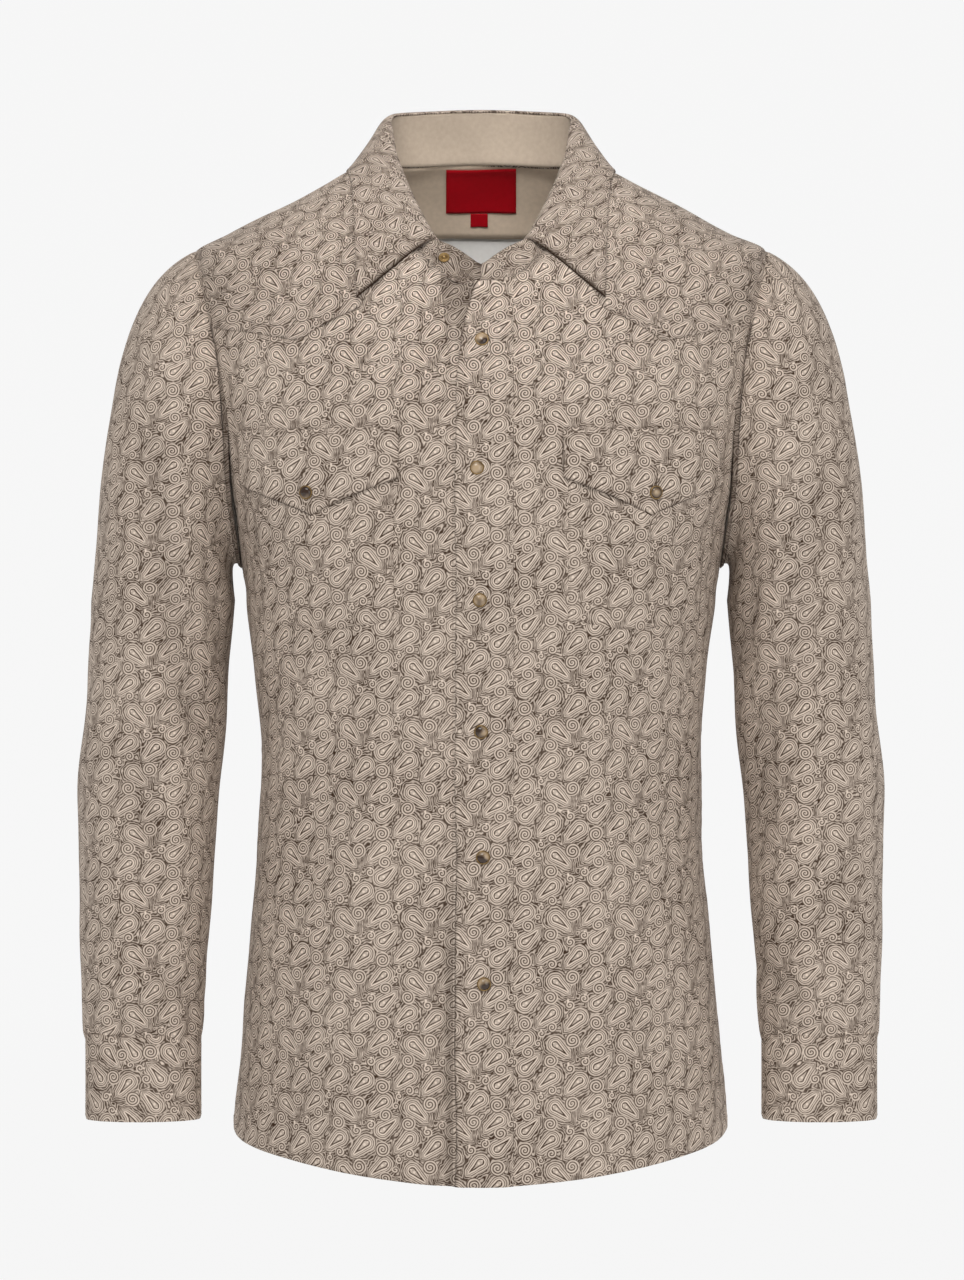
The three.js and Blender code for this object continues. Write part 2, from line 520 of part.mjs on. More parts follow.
{
  const stand = (out) => collarRound.map(({ foot, top, away }) => {
    const start = foot.clone().lerp(top, 0.045);
    const end = top.clone().lerp(foot, 0.075);
    return steps(0, 1, 2).map((t) => start.clone().lerp(end, t)
      .addScaledVector(away, out + 1.5 * Math.sin(Math.PI * t)));
  });
  add('collar_stand_outer', wall(stand(0), stand(PLY)), PRINT);
  add('collar_stand_inner', wall(stand(-2 * GAP - PLY), stand(-2 * GAP)), TAN);

  const leafRows = collarRound.filter((row) => row.edge);
  const leaf = leafRows.map(({ top, away, edge }) => {
    const crest = top.clone().add(new THREE.Vector3(0, 0, 0.6));
    const out = top.clone().addScaledVector(away, 8).add(new THREE.Vector3(0, 0, 4.5));
    const down = edge.clone().lerp(top, 0.4).addScaledVector(away, 3);
    const fold = new THREE.CubicBezierCurve3(crest, out, down, edge);
    return steps(0, 1, 7).map((t) => clear(fold.getPoint(t ** 1.15), LEAF_LIFT));
  });
  const centre = new THREE.Vector3(0, 5, -40);
  add('collar_leaf', onGrid(leaf, -0.2, LEAF_PLY - 0.2, (p) => p.clone().sub(centre)), PRINT);
}

// ----- Snaps -----

// A snap cap: a flat rim with a dome on it, its base on the XY plane.
function cap({ radius, rim, height }) {
  const profile = [new THREE.Vector2(0, 0), new THREE.Vector2(radius, 0), new THREE.Vector2(radius, rim)];
  for (const t of steps(0, 1, 3).slice(1)) {
    const turn = t * Math.PI / 2;
    profile.push(new THREE.Vector2(t === 1 ? 0 : (radius - 0.5) * Math.cos(turn), rim + (height - rim) * Math.sin(turn)));
  }
  const geometry = new THREE.LatheGeometry(profile, 12);
  return geometry.rotateX(Math.PI / 2);
}

// Sets a cap on a surface at a point, its dome along the normal.
function setCap(name, size, at, normal, material) {
  const mesh = add(name, cap(size), material);
  mesh.quaternion.setFromUnitVectors(new THREE.Vector3(0, 0, 1), normal);
  mesh.position.copy(at);
}

function capOnFront(name, x, z, layer, material = PEARL) {
  const [angle, h] = seen(x, z);
  const foot = trunk(angle, h, layer);
  setCap(name, SNAP, foot, trunk(angle, h, layer + 1).sub(foot).normalize(), material);
}

CLOSURE_SNAPS.forEach(({ x, z }, i) =>
  capOnFront(`snap_front_${i + 1}`, x || 0.01, z, LAYER(2) + PLY + GAP));
capOnFront('snap_flap_left', FLAP_SNAP.x, FLAP_SNAP.z, LAYER(2) + PLY + GAP);
capOnFront('snap_flap_right', -FLAP_SNAP.x, FLAP_SNAP.z, LAYER(2) + PLY + GAP);

for (const [name, sign] of [['left', 1], ['right', -1]]) {
  const z = (CUFF.top + CUFF.bottom) / 2;
  const at = onRing(CUFF, 322, z);
  const normal = onRing(CUFF, 322, z, -1).sub(at).normalize();
  at.addScaledVector(normal, PLY + 2 * GAP);
  const flipped = new THREE.Vector3(sign, 1, 1);
  setCap(`snap_cuff_${name}`, SNAP, at.multiply(flipped), normal.multiply(flipped), PEARL);
}

// Brass stud on the wearer's right end of the stand.
{
  const [a, b] = [collarRound[2], collarRound[3]];
  const foot = a.foot.clone().lerp(b.foot, 0.4);
  const top = a.top.clone().lerp(b.top, 0.4);
  const up = top.clone().sub(foot).normalize();
  const across = b.foot.clone().sub(a.foot).normalize();
  const normal = across.cross(up).normalize();
  if (normal.y > 0) normal.negate();
  const at = foot.clone().lerp(top, STUD.up).addScaledVector(normal, PLY + 2.1);
  setCap('collar_stud', STUD, at, normal, BRASS);
}

export default shirt;
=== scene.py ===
import math

import bmesh
import bpy
import numpy as np
from mathutils import Matrix, Vector


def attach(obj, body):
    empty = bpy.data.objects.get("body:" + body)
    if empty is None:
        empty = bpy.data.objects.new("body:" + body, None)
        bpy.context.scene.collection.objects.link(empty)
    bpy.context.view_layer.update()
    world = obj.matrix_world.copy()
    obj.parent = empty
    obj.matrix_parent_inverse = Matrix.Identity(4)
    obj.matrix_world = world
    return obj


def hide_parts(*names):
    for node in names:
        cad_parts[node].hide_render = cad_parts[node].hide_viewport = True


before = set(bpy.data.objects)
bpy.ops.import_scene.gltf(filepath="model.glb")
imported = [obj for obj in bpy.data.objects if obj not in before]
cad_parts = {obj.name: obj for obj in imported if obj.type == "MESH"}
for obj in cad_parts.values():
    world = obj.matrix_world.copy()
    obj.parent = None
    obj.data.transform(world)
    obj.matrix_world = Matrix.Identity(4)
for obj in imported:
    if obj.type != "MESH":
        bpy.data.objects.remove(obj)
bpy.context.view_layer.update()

# ---------------------------------------------------------------------------
# Camera, light and floor. A level camera stands nearly four metres off, as for a
# catalogue picture, with broad soft light from above and in front, on a pale sweep.
# ---------------------------------------------------------------------------

SENSOR = 36
CAMERA_AWAY = 3.8                 # metres from the middle of the shirt
SEEN_HEIGHT = 1280 * 0.000785     # metres that the picture's height shows there

camera = bpy.data.objects.new("camera", bpy.data.cameras.new("camera"))
camera.location = (0.0008, -CAMERA_AWAY, -0.361)
camera.rotation_euler = (math.radians(90), 0, 0)
camera.data.sensor_width = SENSOR
camera.data.lens = SENSOR * CAMERA_AWAY / SEEN_HEIGHT
bpy.context.collection.objects.link(camera)
bpy.context.scene.camera = camera
bpy.context.scene.view_settings.view_transform = "Standard"

# name, place, aim, width, height, spread in degrees, watts
LIGHTS = [
    ("key", (-0.8, -2.6, 2.2), (0, 0, -0.35), 2.0, 1.4, 180, 49),
    ("fill", (1.9, -3.0, 0.0), (0, 0, -0.45), 2.0, 2.4, 180, 25),
    ("top", (0.1, -1.0, 2.2), (0, 0, -0.1), 1.6, 1.0, 180, 6),
    ("neck", (0.0, -2.0, 1.0), (0, 0.08, -0.02), 0.3, 0.2, 12, 0.13),
]
for name, place, aim, width, height, spread, watts in LIGHTS:
    light = bpy.data.lights.new(name, "AREA")
    light.shape, light.size, light.size_y, light.energy = "RECTANGLE", width, height, watts
    light.spread = math.radians(spread)
    lamp = bpy.data.objects.new(name, light)
    lamp.location = place
    lamp.rotation_euler = (Vector(aim) - Vector(place)).to_track_quat("-Z", "Y").to_euler()
    bpy.context.collection.objects.link(lamp)

world = bpy.data.worlds.new("studio")
world.use_nodes = True
world.node_tree.nodes["Background"].inputs["Color"].default_value = (1, 0.995, 0.985, 1)
world.node_tree.nodes["Background"].inputs["Strength"].default_value = 0.42
bpy.context.scene.world = world

# The paper runs flat to behind the shirt, curls up over a share of its length, and
# goes on as a wall. All in metres but the shares.
FLOOR_HEIGHT, FLOOR_START, FLOOR_RUN, SWEEP_WIDTH = -2.0, -9, 29.2, 26
CURL_START, CURL_SHARE, CURL_RADIUS, WALL_RISE = 0.5, 0.2, 1.0, 18

sweep_mesh = bpy.data.meshes.new("floor")
bm = bmesh.new()
bmesh.ops.create_grid(bm, x_segments=1, y_segments=48, size=0.5)
for v in bm.verts:
    along = v.co.y + 0.5                      # 0 in front, 1 at the top of the wall
    turn = min(max((along - CURL_START) / CURL_SHARE, 0), 1) * math.pi / 2
    up_wall = max(along - CURL_START - CURL_SHARE, 0)
    y = FLOOR_START + min(along, CURL_START) * FLOOR_RUN + CURL_RADIUS * math.sin(turn)
    z = FLOOR_HEIGHT + CURL_RADIUS * (1 - math.cos(turn)) + up_wall * WALL_RISE
    v.co = (v.co.x * SWEEP_WIDTH, y, z)
bm.to_mesh(sweep_mesh)
bm.free()
sweep_mesh.shade_smooth()
sweep = bpy.data.objects.new("floor", sweep_mesh)
bpy.context.collection.objects.link(sweep)
paper = bpy.data.materials.new("studio_paper")
paper.use_nodes = True
paper_shader = paper.node_tree.nodes["Principled BSDF"]
paper_shader.inputs["Base Color"].default_value = (0.1, 0.1, 0.1, 1)
paper_shader.inputs["Roughness"].default_value = 0.9
paper_shader.inputs["Emission Color"].default_value = (1, 1, 1, 1)
paper_shader.inputs["Emission Strength"].default_value = 0.845
sweep_mesh.materials.append(paper)

# ---------------------------------------------------------------------------
# Body cloth: cotton poplin on the form of the filled-out shirt. The form is a stack
# of closed rings, and every piece of the body is a stretch of it. Soft folds are
# pressed into it along the lines that the sleeves, pockets and closing edge pull.
# ---------------------------------------------------------------------------

MM = 0.001

# height at the side, half width, depth in front, depth behind, fall in front,
# rise behind, sharpness of the fall, roundness of the ring (2 is an ellipse)
BODY_RINGS = np.array([
    (-760, 192, 130, 120, -34, -26, 1.1, 2.3),
    (-741, 192, 130, 120, -35, -28, 1.1, 2.3),
    (-683, 187, 129, 119, -18, -15, 1.2, 2.3),
    (-604, 180, 127, 116, -4, -4, 1.6, 2.3),
    (-506, 172.3, 125, 114, 0, 0, 2, 2.3),
    (-447, 171, 127, 117, 0, 0, 2, 2.3),
    (-389, 176, 132, 124, 0, 0, 2, 2.3),
    (-330, 184.5, 137, 133, 0, 0, 2, 2.4),
    (-300, 190.5, 139, 137, -1, 0, 2, 2.4),
    (-240, 204, 139, 140, -6, 0, 2, 2.6),
    (-178, 213, 135, 138, -15, 0, 2, 2.6),
    (-140, 217, 129, 133, -25, 4, 2, 2.6),
    (-100, 222, 122, 124, -40, 8, 2, 2.6),
    (-57, 223, 114, 112, -60, 15, 2, 2.6),
    (-44, 196, 112, 106, -67, 14, 2, 2.5),
    (-25, 158, 110, 97, -79, 12, 2.1, 2.4),
    (-6, 122, 108, 86, -90, 9, 2.2, 2.3),
    (5, 102, 106.5, 79, -97, 7, 2.3, 2.3),
    (14, 80, 105, 70, -104, 6, 2.3, 2.3),
    (24, 62, 103, 61, -111, 5, 2.3, 2.3),
])
HEM, NECK = -741.0, 14.0

# Folds: x and z of both ends seen from in front or behind, half breadth, depth
# (below 0 is a trough, above 0 a ridge), and the side they are on.
BODY_FOLDS = np.array([
    (-196, -165, -186, -318, 13, -4.0, -1),
    (196, -185, 187, -318, 13, -3.6, -1),
    (-184, -262, -118, -330, 17, -2.6, -1),
    (-180, -300, -96, -408, 21, -2.2, -1),
    (184, -268, 132, -330, 17, -2.2, -1),
    (178, -306, 112, -420, 22, -2.0, -1),
    (-104, -408, -146, -560, 21, -4.2, -1),
    (-74, -455, -104, -640, 26, 3.0, -1),
    (-150, -470, -168, -640, 20, 2.6, -1),
    (122, -430, 150, -575, 22, -3.2, -1),
    (84, -470, 98, -660, 28, 2.6, -1),
    (-28, -600, -26, -790, 7, -5.0, -1),
    (-92, -640, -98, -775, 26, 3.2, -1),
    (-58, -690, -60, -776, 17, -2.0, -1),
    (88, -650, 96, -770, 30, 3.4, -1),
    (38, -690, 40, -776, 22, -2.2, -1),
    (142, -660, 150, -765, 19, -2.4, -1),
    (-140, -660, -148, -765, 18, -2.2, -1),
    (-20, -72, -21, -126, 8, -4.5, -1), (-60, -150, -96, -235, 26, 1.6, -1),
    (62, -150, 100, -235, 26, 1.6, -1),
    (-26, -250, -34, -560, 17, 1.2, -1),
    (-190, -170, -182, -330, 15, -3.6, 1),
    (190, -180, 183, -330, 15, -3.8, 1),
    (-176, -290, -60, -400, 24, -3.4, 1),
    (178, -282, 74, -384, 22, -3.0, 1),
    (-150, -380, -20, -452, 24, -3.0, 1),
    (146, -392, 34, -470, 22, -2.6, 1),
    (-92, -470, -112, -700, 26, -4.6, 1),
    (-44, -520, -50, -740, 26, 3.4, 1),
    (12, -480, 6, -760, 24, -4.0, 1),
    (60, -530, 66, -745, 25, 3.2, 1),
    (104, -480, 118, -720, 24, -4.2, 1),
    (-60, -170, -70, -300, 22, 2.0, 1),
    (64, -172, 70, -310, 22, 2.0, 1),
])


def near(distance, breadth):
    """1 on a line, and falling away smoothly to both sides of it."""
    return np.exp(-((distance / breadth) ** 2))


def smooth_rows(rows, at):
    """All columns of a table at the keys in `at`, on curves that never pass their rows."""
    key, values = rows[:, 0], rows[:, 1:]
    step = np.diff(values, axis=0) / np.diff(key)[:, None]
    slope = np.vstack([step[:1], np.zeros((len(key) - 2, values.shape[1])), step[-1:]])
    before, after = step[:-1], step[1:]
    same = before * after > 0
    slope[1:-1][same] = (2 * before * after)[same] / (before + after)[same]
    i = np.clip(np.searchsorted(key, at) - 1, 0, len(key) - 2)
    span = (key[i + 1] - key[i])[:, None]
    t = np.clip((at - key[i]) / span[:, 0], 0, 1)[:, None]
    return ((2 * t**3 - 3 * t**2 + 1) * values[i] + (t**3 - 2 * t**2 + t) * span * slope[i]
            + (3 * t**2 - 2 * t**3) * values[i + 1] + (t**3 - t**2) * span * slope[i + 1])


def body_form(angle, height):
    """Points of the plain form, in mm. angle is 0 in front, 90 on the wearer's left."""
    angle, height = np.broadcast_arrays(np.asarray(angle, float), np.asarray(height, float))
    shape = angle.shape
    angle, height = angle.ravel(), height.ravel()
    width, front, back, fall, rise, bend, roundness = smooth_rows(BODY_RINGS, height).T
    c, s = np.cos(np.radians(angle)), np.sin(np.radians(angle))
    ahead = c > 0
    depth = np.where(ahead, front, back)
    drop = np.where(ahead, fall, rise) * np.abs(c) ** bend
    reach = (np.abs(c / depth) ** roundness + np.abs(s / width) ** roundness) ** (-1 / roundness)
    return np.stack([reach * s, -reach * c, height + drop], axis=-1).reshape(*shape, 3)


def fold_depth(points, folds, middle=0.0):
    """How far the folds push the cloth out at each point."""
    total = np.zeros(points.shape[:-1])
    x, z = points[..., 0], points[..., 2]
    for x0, z0, x1, z1, breadth, depth, face in folds:
        run_x, run_z = x1 - x0, z1 - z0
        t = np.clip(((x - x0) * run_x + (z - z0) * run_z) / (run_x**2 + run_z**2), 0, 1)
        off = np.hypot(x - x0 - t * run_x, z - z0 - t * run_z)
        fullness = 0.35 + 0.65 * np.sin(np.pi * np.clip(t, 0.04, 0.96)) ** 0.6
        own_face = np.clip(0.5 + (points[..., 1] - middle) * face / 30, 0, 1)
        total += depth * near(off, breadth) * fullness * own_face
    return total


def unevenness(points):
    """The slight slow waves that cloth has everywhere after it has been in wear."""
    x, y, z = points[..., 0], points[..., 1], points[..., 2]
    return 0.4 * (np.sin(x / 17 + z / 29) + np.sin(x / 23 - z / 19 + 1) + np.sin(z / 37 + y / 21 + 2)
                  + 0.7 * np.sin(x / 11 + y / 13 - z / 47) + 0.5 * np.sin(x / 31 + y / 9 + z / 12))


def on_body(angle, height, out=0.0):
    """Points of the creased body in metres, moved out by `out` mm along the cloth's normal."""
    here = body_form(angle, height)
    round_it = body_form(angle + 0.2, height) - body_form(angle - 0.2, height)
    up = body_form(angle, height + 0.5) - body_form(angle, height - 0.5)
    normal = np.cross(round_it, up)
    normal /= np.linalg.norm(normal, axis=-1, keepdims=True)
    return (here + normal * (fold_depth(here, BODY_FOLDS) + unevenness(here) + out)[..., None]) * MM


def angle_at(x, height, behind=False):
    """Angle at which the ring at a height passes x."""
    x, height = np.broadcast_arrays(np.asarray(x, float), np.asarray(height, float))
    width, front, back, _, _, _, roundness = smooth_rows(BODY_RINGS, height.ravel()).T
    share = np.minimum(np.abs(x.ravel()) / width, 1)
    depth = (back if behind else front) * (1 - share**roundness) ** (1 / roundness)
    angle = np.degrees(np.arctan2(np.abs(x.ravel()), depth))
    return (np.where(x.ravel() < 0, -1, 1) * (180 - angle if behind else angle)).reshape(x.shape)


def seen(x, z, behind=False):
    """Angle and height of the points seen at x, z from straight in front or behind."""
    x, z = np.broadcast_arrays(np.asarray(x, float), np.asarray(z, float))
    low, high = np.full(x.shape, BODY_RINGS[0, 0]), np.full(x.shape, BODY_RINGS[-1, 0])
    for _ in range(34):
        mid = (low + high) / 2
        under = body_form(angle_at(x, mid, behind), mid)[..., 2] < z
        low, high = np.where(under, mid, low), np.where(under, high, mid)
    return angle_at(x, low, behind), low


def lengths(points, axis=0):
    """Length over the cloth from the first row or column of points to each of them."""
    steps = np.linalg.norm(np.diff(points, axis=axis), axis=-1)
    return np.concatenate([0 * np.take(steps, [0], axis), np.cumsum(steps, axis=axis)], axis=axis)


# Lengths over the cloth, from which the print is laid: round each ring from the centre
# front, and up each line of the body from the chest.
LAY_DEGREES, LAY_MM, CHEST = 2.0, 4.0, -300
LAY_ANGLES, LAY_HEIGHTS = np.arange(0, 180.1, LAY_DEGREES), np.arange(-760, 24.1, LAY_MM)
lay_points = body_form(*np.meshgrid(LAY_ANGLES, LAY_HEIGHTS, indexing="ij"))
lay_round, lay_up = lengths(lay_points, 0), lengths(lay_points, 1)
chest_row = np.searchsorted(LAY_HEIGHTS, CHEST)
lay_up += (lay_points[:, chest_row, 2] - lay_up[:, chest_row])[:, None]


def body_print(angle, height):
    """Where the print falls at each angle and height, in metres of cloth."""
    sign, turned = np.where(angle < 0, -1, 1), np.abs(angle)
    sign = np.where(turned > 180, -sign, sign)
    turned = np.where(turned > 180, 360 - turned, turned)
    i = np.clip(turned / LAY_DEGREES, 0, len(LAY_ANGLES) - 1.001)
    j = np.clip((height - LAY_HEIGHTS[0]) / LAY_MM, 0, len(LAY_HEIGHTS) - 1.001)
    i0, j0, fi, fj = i.astype(int), j.astype(int), i % 1, j % 1
    shares = ((0, 0, (1 - fi) * (1 - fj)), (1, 0, fi * (1 - fj)),
              (0, 1, (1 - fi) * fj), (1, 1, fi * fj))
    across, up = (sum(share * grid[i0 + a, j0 + b] for a, b, share in shares)
                  for grid in (lay_round, lay_up))
    return np.stack([sign * across, up], axis=-1) * MM


def along_line(points, share):
    """Points at shares 0 to 1 of the length of a line drawn on the body."""
    points = np.asarray(points, float)
    length = lengths(body_form(points[:, 0], points[:, 1]))
    return np.stack([np.interp(share, length / length[-1], column) for column in points.T], axis=-1)


def fill_grid(u, v, bottom, top, left, right):
    """Angles and heights inside four border lines, blended from all of them."""
    b, t = along_line(bottom, u), along_line(top, u)
    l, r = along_line(left, v), along_line(right, v)
    u, v = u[:, None], v[:, None]
    corners = ((1 - v) * ((1 - u) * np.asarray(left[0]) + u * np.asarray(right[0]))
               + v * ((1 - u) * np.asarray(left[-1]) + u * np.asarray(right[-1])))
    return (1 - v) * b + v * t + (1 - u) * l + u * r - corners


def lay_print(points, columns, rows):
    """Print coordinates by length over the cloth, from the middle of a grid of points."""
    grid = points.reshape(rows + 1, columns + 1, 3)
    across, up = lengths(grid, 1), lengths(grid, 0)
    across -= across[:, columns // 2][:, None]
    up -= up[rows // 2][None, :]
    return np.stack([across, up], axis=-1).reshape(-1, 2)


def lay_turned(points, columns, rows):
    """The same for a piece that is cut with its grain turned a quarter round."""
    across, up = lay_print(points, columns, rows).T
    return np.stack([-up, across], axis=-1)


def as_piece(name, bm):
    """A finished mesh as a smooth-shaded piece, which leaves its object at the origin."""
    mesh = bpy.data.meshes.new(name)
    bm.to_mesh(mesh)
    bm.free()
    mesh.shade_smooth()
    piece = bpy.data.objects.new(name, mesh)
    bpy.context.collection.objects.link(piece)
    return piece


def cut_cloth(name, columns, rows, place, inside, lay=lay_print):
    """A sheet of cloth from a grid. place(u, v) gives its points, its print coordinates
    or None to have them laid, and how much painted shade darkens each point, if it gives any.
    Its right side faces away from `inside`."""
    bm = bmesh.new()
    bmesh.ops.create_grid(bm, x_segments=columns, y_segments=rows, size=0.5)
    flat = np.array([(v.co.x + 0.5, v.co.y + 0.5) for v in bm.verts])
    points, printed, *painted_shade = place(flat[:, 0], flat[:, 1])
    if printed is None:
        printed = lay(points, columns, rows)
    for v, point in zip(bm.verts, points):
        v.co = point
    laid = bm.loops.layers.uv.new("Print")
    for face in bm.faces:
        for loop in face.loops:
            loop[laid].uv = printed[loop.vert.index]
    # The painted shade goes onto each point as an attribute, which darkens the cloth's colour.
    if painted_shade:
        darkened = bm.verts.layers.float.new("PaintedShade")
        for v, amount in zip(bm.verts, painted_shade[0]):
            v[darkened] = amount
    bm.normal_update()
    if sum(f.normal.dot(f.calc_center_median() - Vector(inside)) for f in bm.faces) < 0:
        bmesh.ops.reverse_faces(bm, faces=bm.faces[:])
    bmesh.ops.remove_doubles(bm, verts=bm.verts[:], dist=1e-6)
    return as_piece(name, bm)


CLOTH_THICK = 1.0         # mm, turned edges and seam allowances included


def finish_cloth(piece, faces, node, thickness=CLOTH_THICK):
    """Gives a sheet its thickness, its right and wrong side, and its place in the frame."""
    for material in faces:
        piece.data.materials.append(material)
    shell = piece.modifiers.new("thickness", "SOLIDIFY")
    shell.thickness, shell.offset = thickness * MM, 1.0
    shell.material_offset = len(faces) - 1
    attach(piece, "root")
    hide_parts(node)


# ---------------------------------------------------------------------------
# The printed poplin: a taupe ground with pale contour lines round paisley drops that
# lean to the left, spirals and dots between them, on a fine plain weave. The dye
# stays on the right side, and the wrong side is a plain greyish beige.
# ---------------------------------------------------------------------------

REPEAT = (54.2, 47.9)     # mm of cloth across and up
LINE = 1.9                # mm from one contour line to the next
SCROLL_LINE = 2.05        # mm from one turn of a spiral to the next
DROP_RADIUS, DROP_LENGTH = 2.6, 12.4     # mm, of a drop's round end and from there to its tip
# Paisley drops: middle of the round end, the tip and the curl of the tip, in mm from
# the repeat's upper corner.
DROPS = [
    ((20.8, -25.8), (9.7, -34.9), 0.005), ((34.7, -41.5), (23.9, -49.1), 0.006),
    ((54.4, -22.0), (45.0, -28.5), 0.007), ((33.2, -15.8), (43.3, -8.4), 0.006),
    ((56.4, -46.1), (66.8, -53.7), -0.006),
]
BEADS = ((1.7, 1.15), (-1.35, 0.75))     # two dots in each drop: place along it, and radius
# Shade by the distance from a drop's outline, in mm: a pale heart, a dark outline, and
# pale bands with a thin line between them.
DROP_BANDS = [(-2.6, 0.70), (-1.0, 0.64), (-0.75, 0.02), (-0.05, 0.0), (0.2, 0.94), (0.95, 1.0),
              (1.3, 0.22), (1.6, 0.26), (2.05, 0.98), (2.75, 0.12), (3.05, 0.14), (3.45, 0.92),
              (4.0, 0.70), (4.4, 0.04)]
# Spirals, their radii and the way they wind, and single dots.
SPIRALS = [
    ((33.3, -30.3), 5.6, 1), ((15.3, -43.3), 5.4, -1), ((52.9, -58.5), 5.2, 1),
    ((35.6, -51.9), 4.7, -1), ((24.4, -59.6), 3.4, 1), ((13.5, -64.4), 3.3, -1),
    ((45.8, -37.9), 2.6, 1), ((43.3, -45.3), 2.4, -1), ((54.0, -33.1), 3.6, 1),
]
DOTS = [((45.6, -35.0), 0.8), ((12.3, -13.9), 0.9), ((25.0, -8.7), 0.9), ((12.2, -60.8), 0.9)]


def new_group(name, inputs, outputs):
    """An empty node group with its sockets, and its input and output nodes."""
    group = bpy.data.node_groups.new(name, "ShaderNodeTree")
    for way, sockets in (("INPUT", inputs), ("OUTPUT", outputs)):
        for label, kind in sockets:
            group.interface.new_socket(label, in_out=way, socket_type=f"NodeSocket{kind}")
    return group, group.nodes.new("NodeGroupInput"), group.nodes.new("NodeGroupOutput")


def join(tree, value, socket):
    """Links a socket to another, or sets a plain value on it."""
    if isinstance(value, bpy.types.NodeSocket):
        tree.links.new(value, socket)
    else:
        socket.default_value = value


def calc(tree, operation, *values, clamp=False):
    """The result of a sum on numbers."""
    node = tree.nodes.new("ShaderNodeMath")
    node.operation, node.use_clamp = operation, clamp
    for socket, value in zip(node.inputs, values):
        join(tree, value, socket)
    return node.outputs[0]


def move(tree, operation, *values):
    """The result of a sum on vectors."""
    node = tree.nodes.new("ShaderNodeVectorMath")
    node.operation = operation
    for socket, value in zip(node.inputs, values):
        join(tree, value, socket)
    return node.outputs["Value" if operation == "LENGTH" else "Vector"]


def ramp(tree, value, start, end, low=0.0, high=1.0, course="SMOOTHSTEP"):
    """A step from low to high as value goes from start to end, soft unless told else."""
    node = tree.nodes.new("ShaderNodeMapRange")
    node.interpolation_type = course
    for label, number in (("Value", value), ("From Min", start), ("From Max", end),
                          ("To Min", low), ("To Max", high)):
        join(tree, number, node.inputs[label])
    return node.outputs["Result"]


def blend(tree, share, first, second):
    """A colour that goes from the first to the second as share goes from 0 to 1."""
    node = tree.nodes.new("ShaderNodeMix")
    node.data_type = "RGBA"
    for label, value in (("Factor_Float", share), ("A_Color", first), ("B_Color", second)):
        join(tree, value, next(s for s in node.inputs if s.identifier == label))
    return next(s for s in node.outputs if s.identifier == "Result_Color")


def noise(tree, place, scale, detail):
    """Uneven values round 0.5 over a place."""
    node = tree.nodes.new("ShaderNodeTexNoise")
    node.inputs["Scale"].default_value, node.inputs["Detail"].default_value = scale, detail
    tree.links.new(place, node.inputs["Vector"])
    return node.outputs["Fac"]


def split(tree, vector):
    """The three numbers of a vector, by their letters."""
    node = tree.nodes.new("ShaderNodeSeparateXYZ")
    tree.links.new(vector, node.inputs[0])
    return node.outputs


def from_motif(tree, place, middle):
    """The way to each point from the middle of the nearest repeat of a motif."""
    half = (REPEAT[0] / 2, REPEAT[1] / 2, 1)
    return move(tree, "WRAP", move(tree, "SUBTRACT", place, middle), half, tuple(-n for n in half))


def in_group(tree, group, **values):
    """A node group placed in a tree, with its inputs' values or links."""
    node = tree.nodes.new("ShaderNodeGroup")
    node.node_tree = group
    for label, value in values.items():
        join(tree, value, node.inputs[label.replace("_", " ")])
    return node


# One paisley drop: how far each point lies from its outline, and its beads.
# x runs from the round end to the tip, and off is measured from that line.
drop, given, found = new_group(
    "paisley_drop",
    [("Cloth", "Vector"), ("Round End", "Vector"), ("Turn", "Float"), ("Curl", "Float")],
    [("Distance", "Float"), ("Beads", "Float")])
SLOPE = DROP_RADIUS / DROP_LENGTH
LEVEL = math.sqrt(1 - SLOPE**2)
turned = drop.nodes.new("ShaderNodeVectorRotate")
turned.rotation_type = "Z_AXIS"
here = from_motif(drop, given.outputs["Cloth"], given.outputs["Round End"])
join(drop, here, turned.inputs["Vector"])
join(drop, given.outputs["Turn"], turned.inputs["Angle"])
parts = split(drop, turned.outputs[0])
x = parts["X"]
ahead = calc(drop, "MAXIMUM", x, 0.0)
curl = calc(drop, "MULTIPLY", calc(drop, "MULTIPLY", ahead, ahead), given.outputs["Curl"])
off = calc(drop, "ABSOLUTE", calc(drop, "SUBTRACT", parts["Y"], curl))
on_cone = calc(drop, "GREATER_THAN", calc(
    drop, "SUBTRACT", calc(drop, "MULTIPLY", x, LEVEL), calc(drop, "MULTIPLY", off, SLOPE)), 0.0)
cone = calc(drop, "ADD", calc(drop, "MULTIPLY", off, LEVEL), calc(drop, "MULTIPLY", x, SLOPE))
ball = calc(drop, "SQRT", calc(
    drop, "ADD", calc(drop, "MULTIPLY", x, x), calc(drop, "MULTIPLY", off, off)))
past = calc(drop, "MAXIMUM", calc(drop, "SUBTRACT", x, DROP_LENGTH), 0.0)
along = calc(drop, "ADD", calc(drop, "MULTIPLY", on_cone, cone),
             calc(drop, "MULTIPLY", calc(drop, "SUBTRACT", 1.0, on_cone), ball))
distance = calc(drop, "ADD", calc(drop, "SUBTRACT", along, DROP_RADIUS), past)
join(drop, distance, found.inputs["Distance"])
beads = 0.0
for at, size in BEADS:
    gap = calc(drop, "SUBTRACT", x, at)
    from_bead = calc(drop, "SQRT", calc(
        drop, "MULTIPLY_ADD", gap, gap, calc(drop, "MULTIPLY", off, off)))
    beads = calc(drop, "MAXIMUM", beads, ramp(drop, from_bead, size - 0.3, size + 0.25, 1, 0))
join(drop, beads, found.inputs["Beads"])

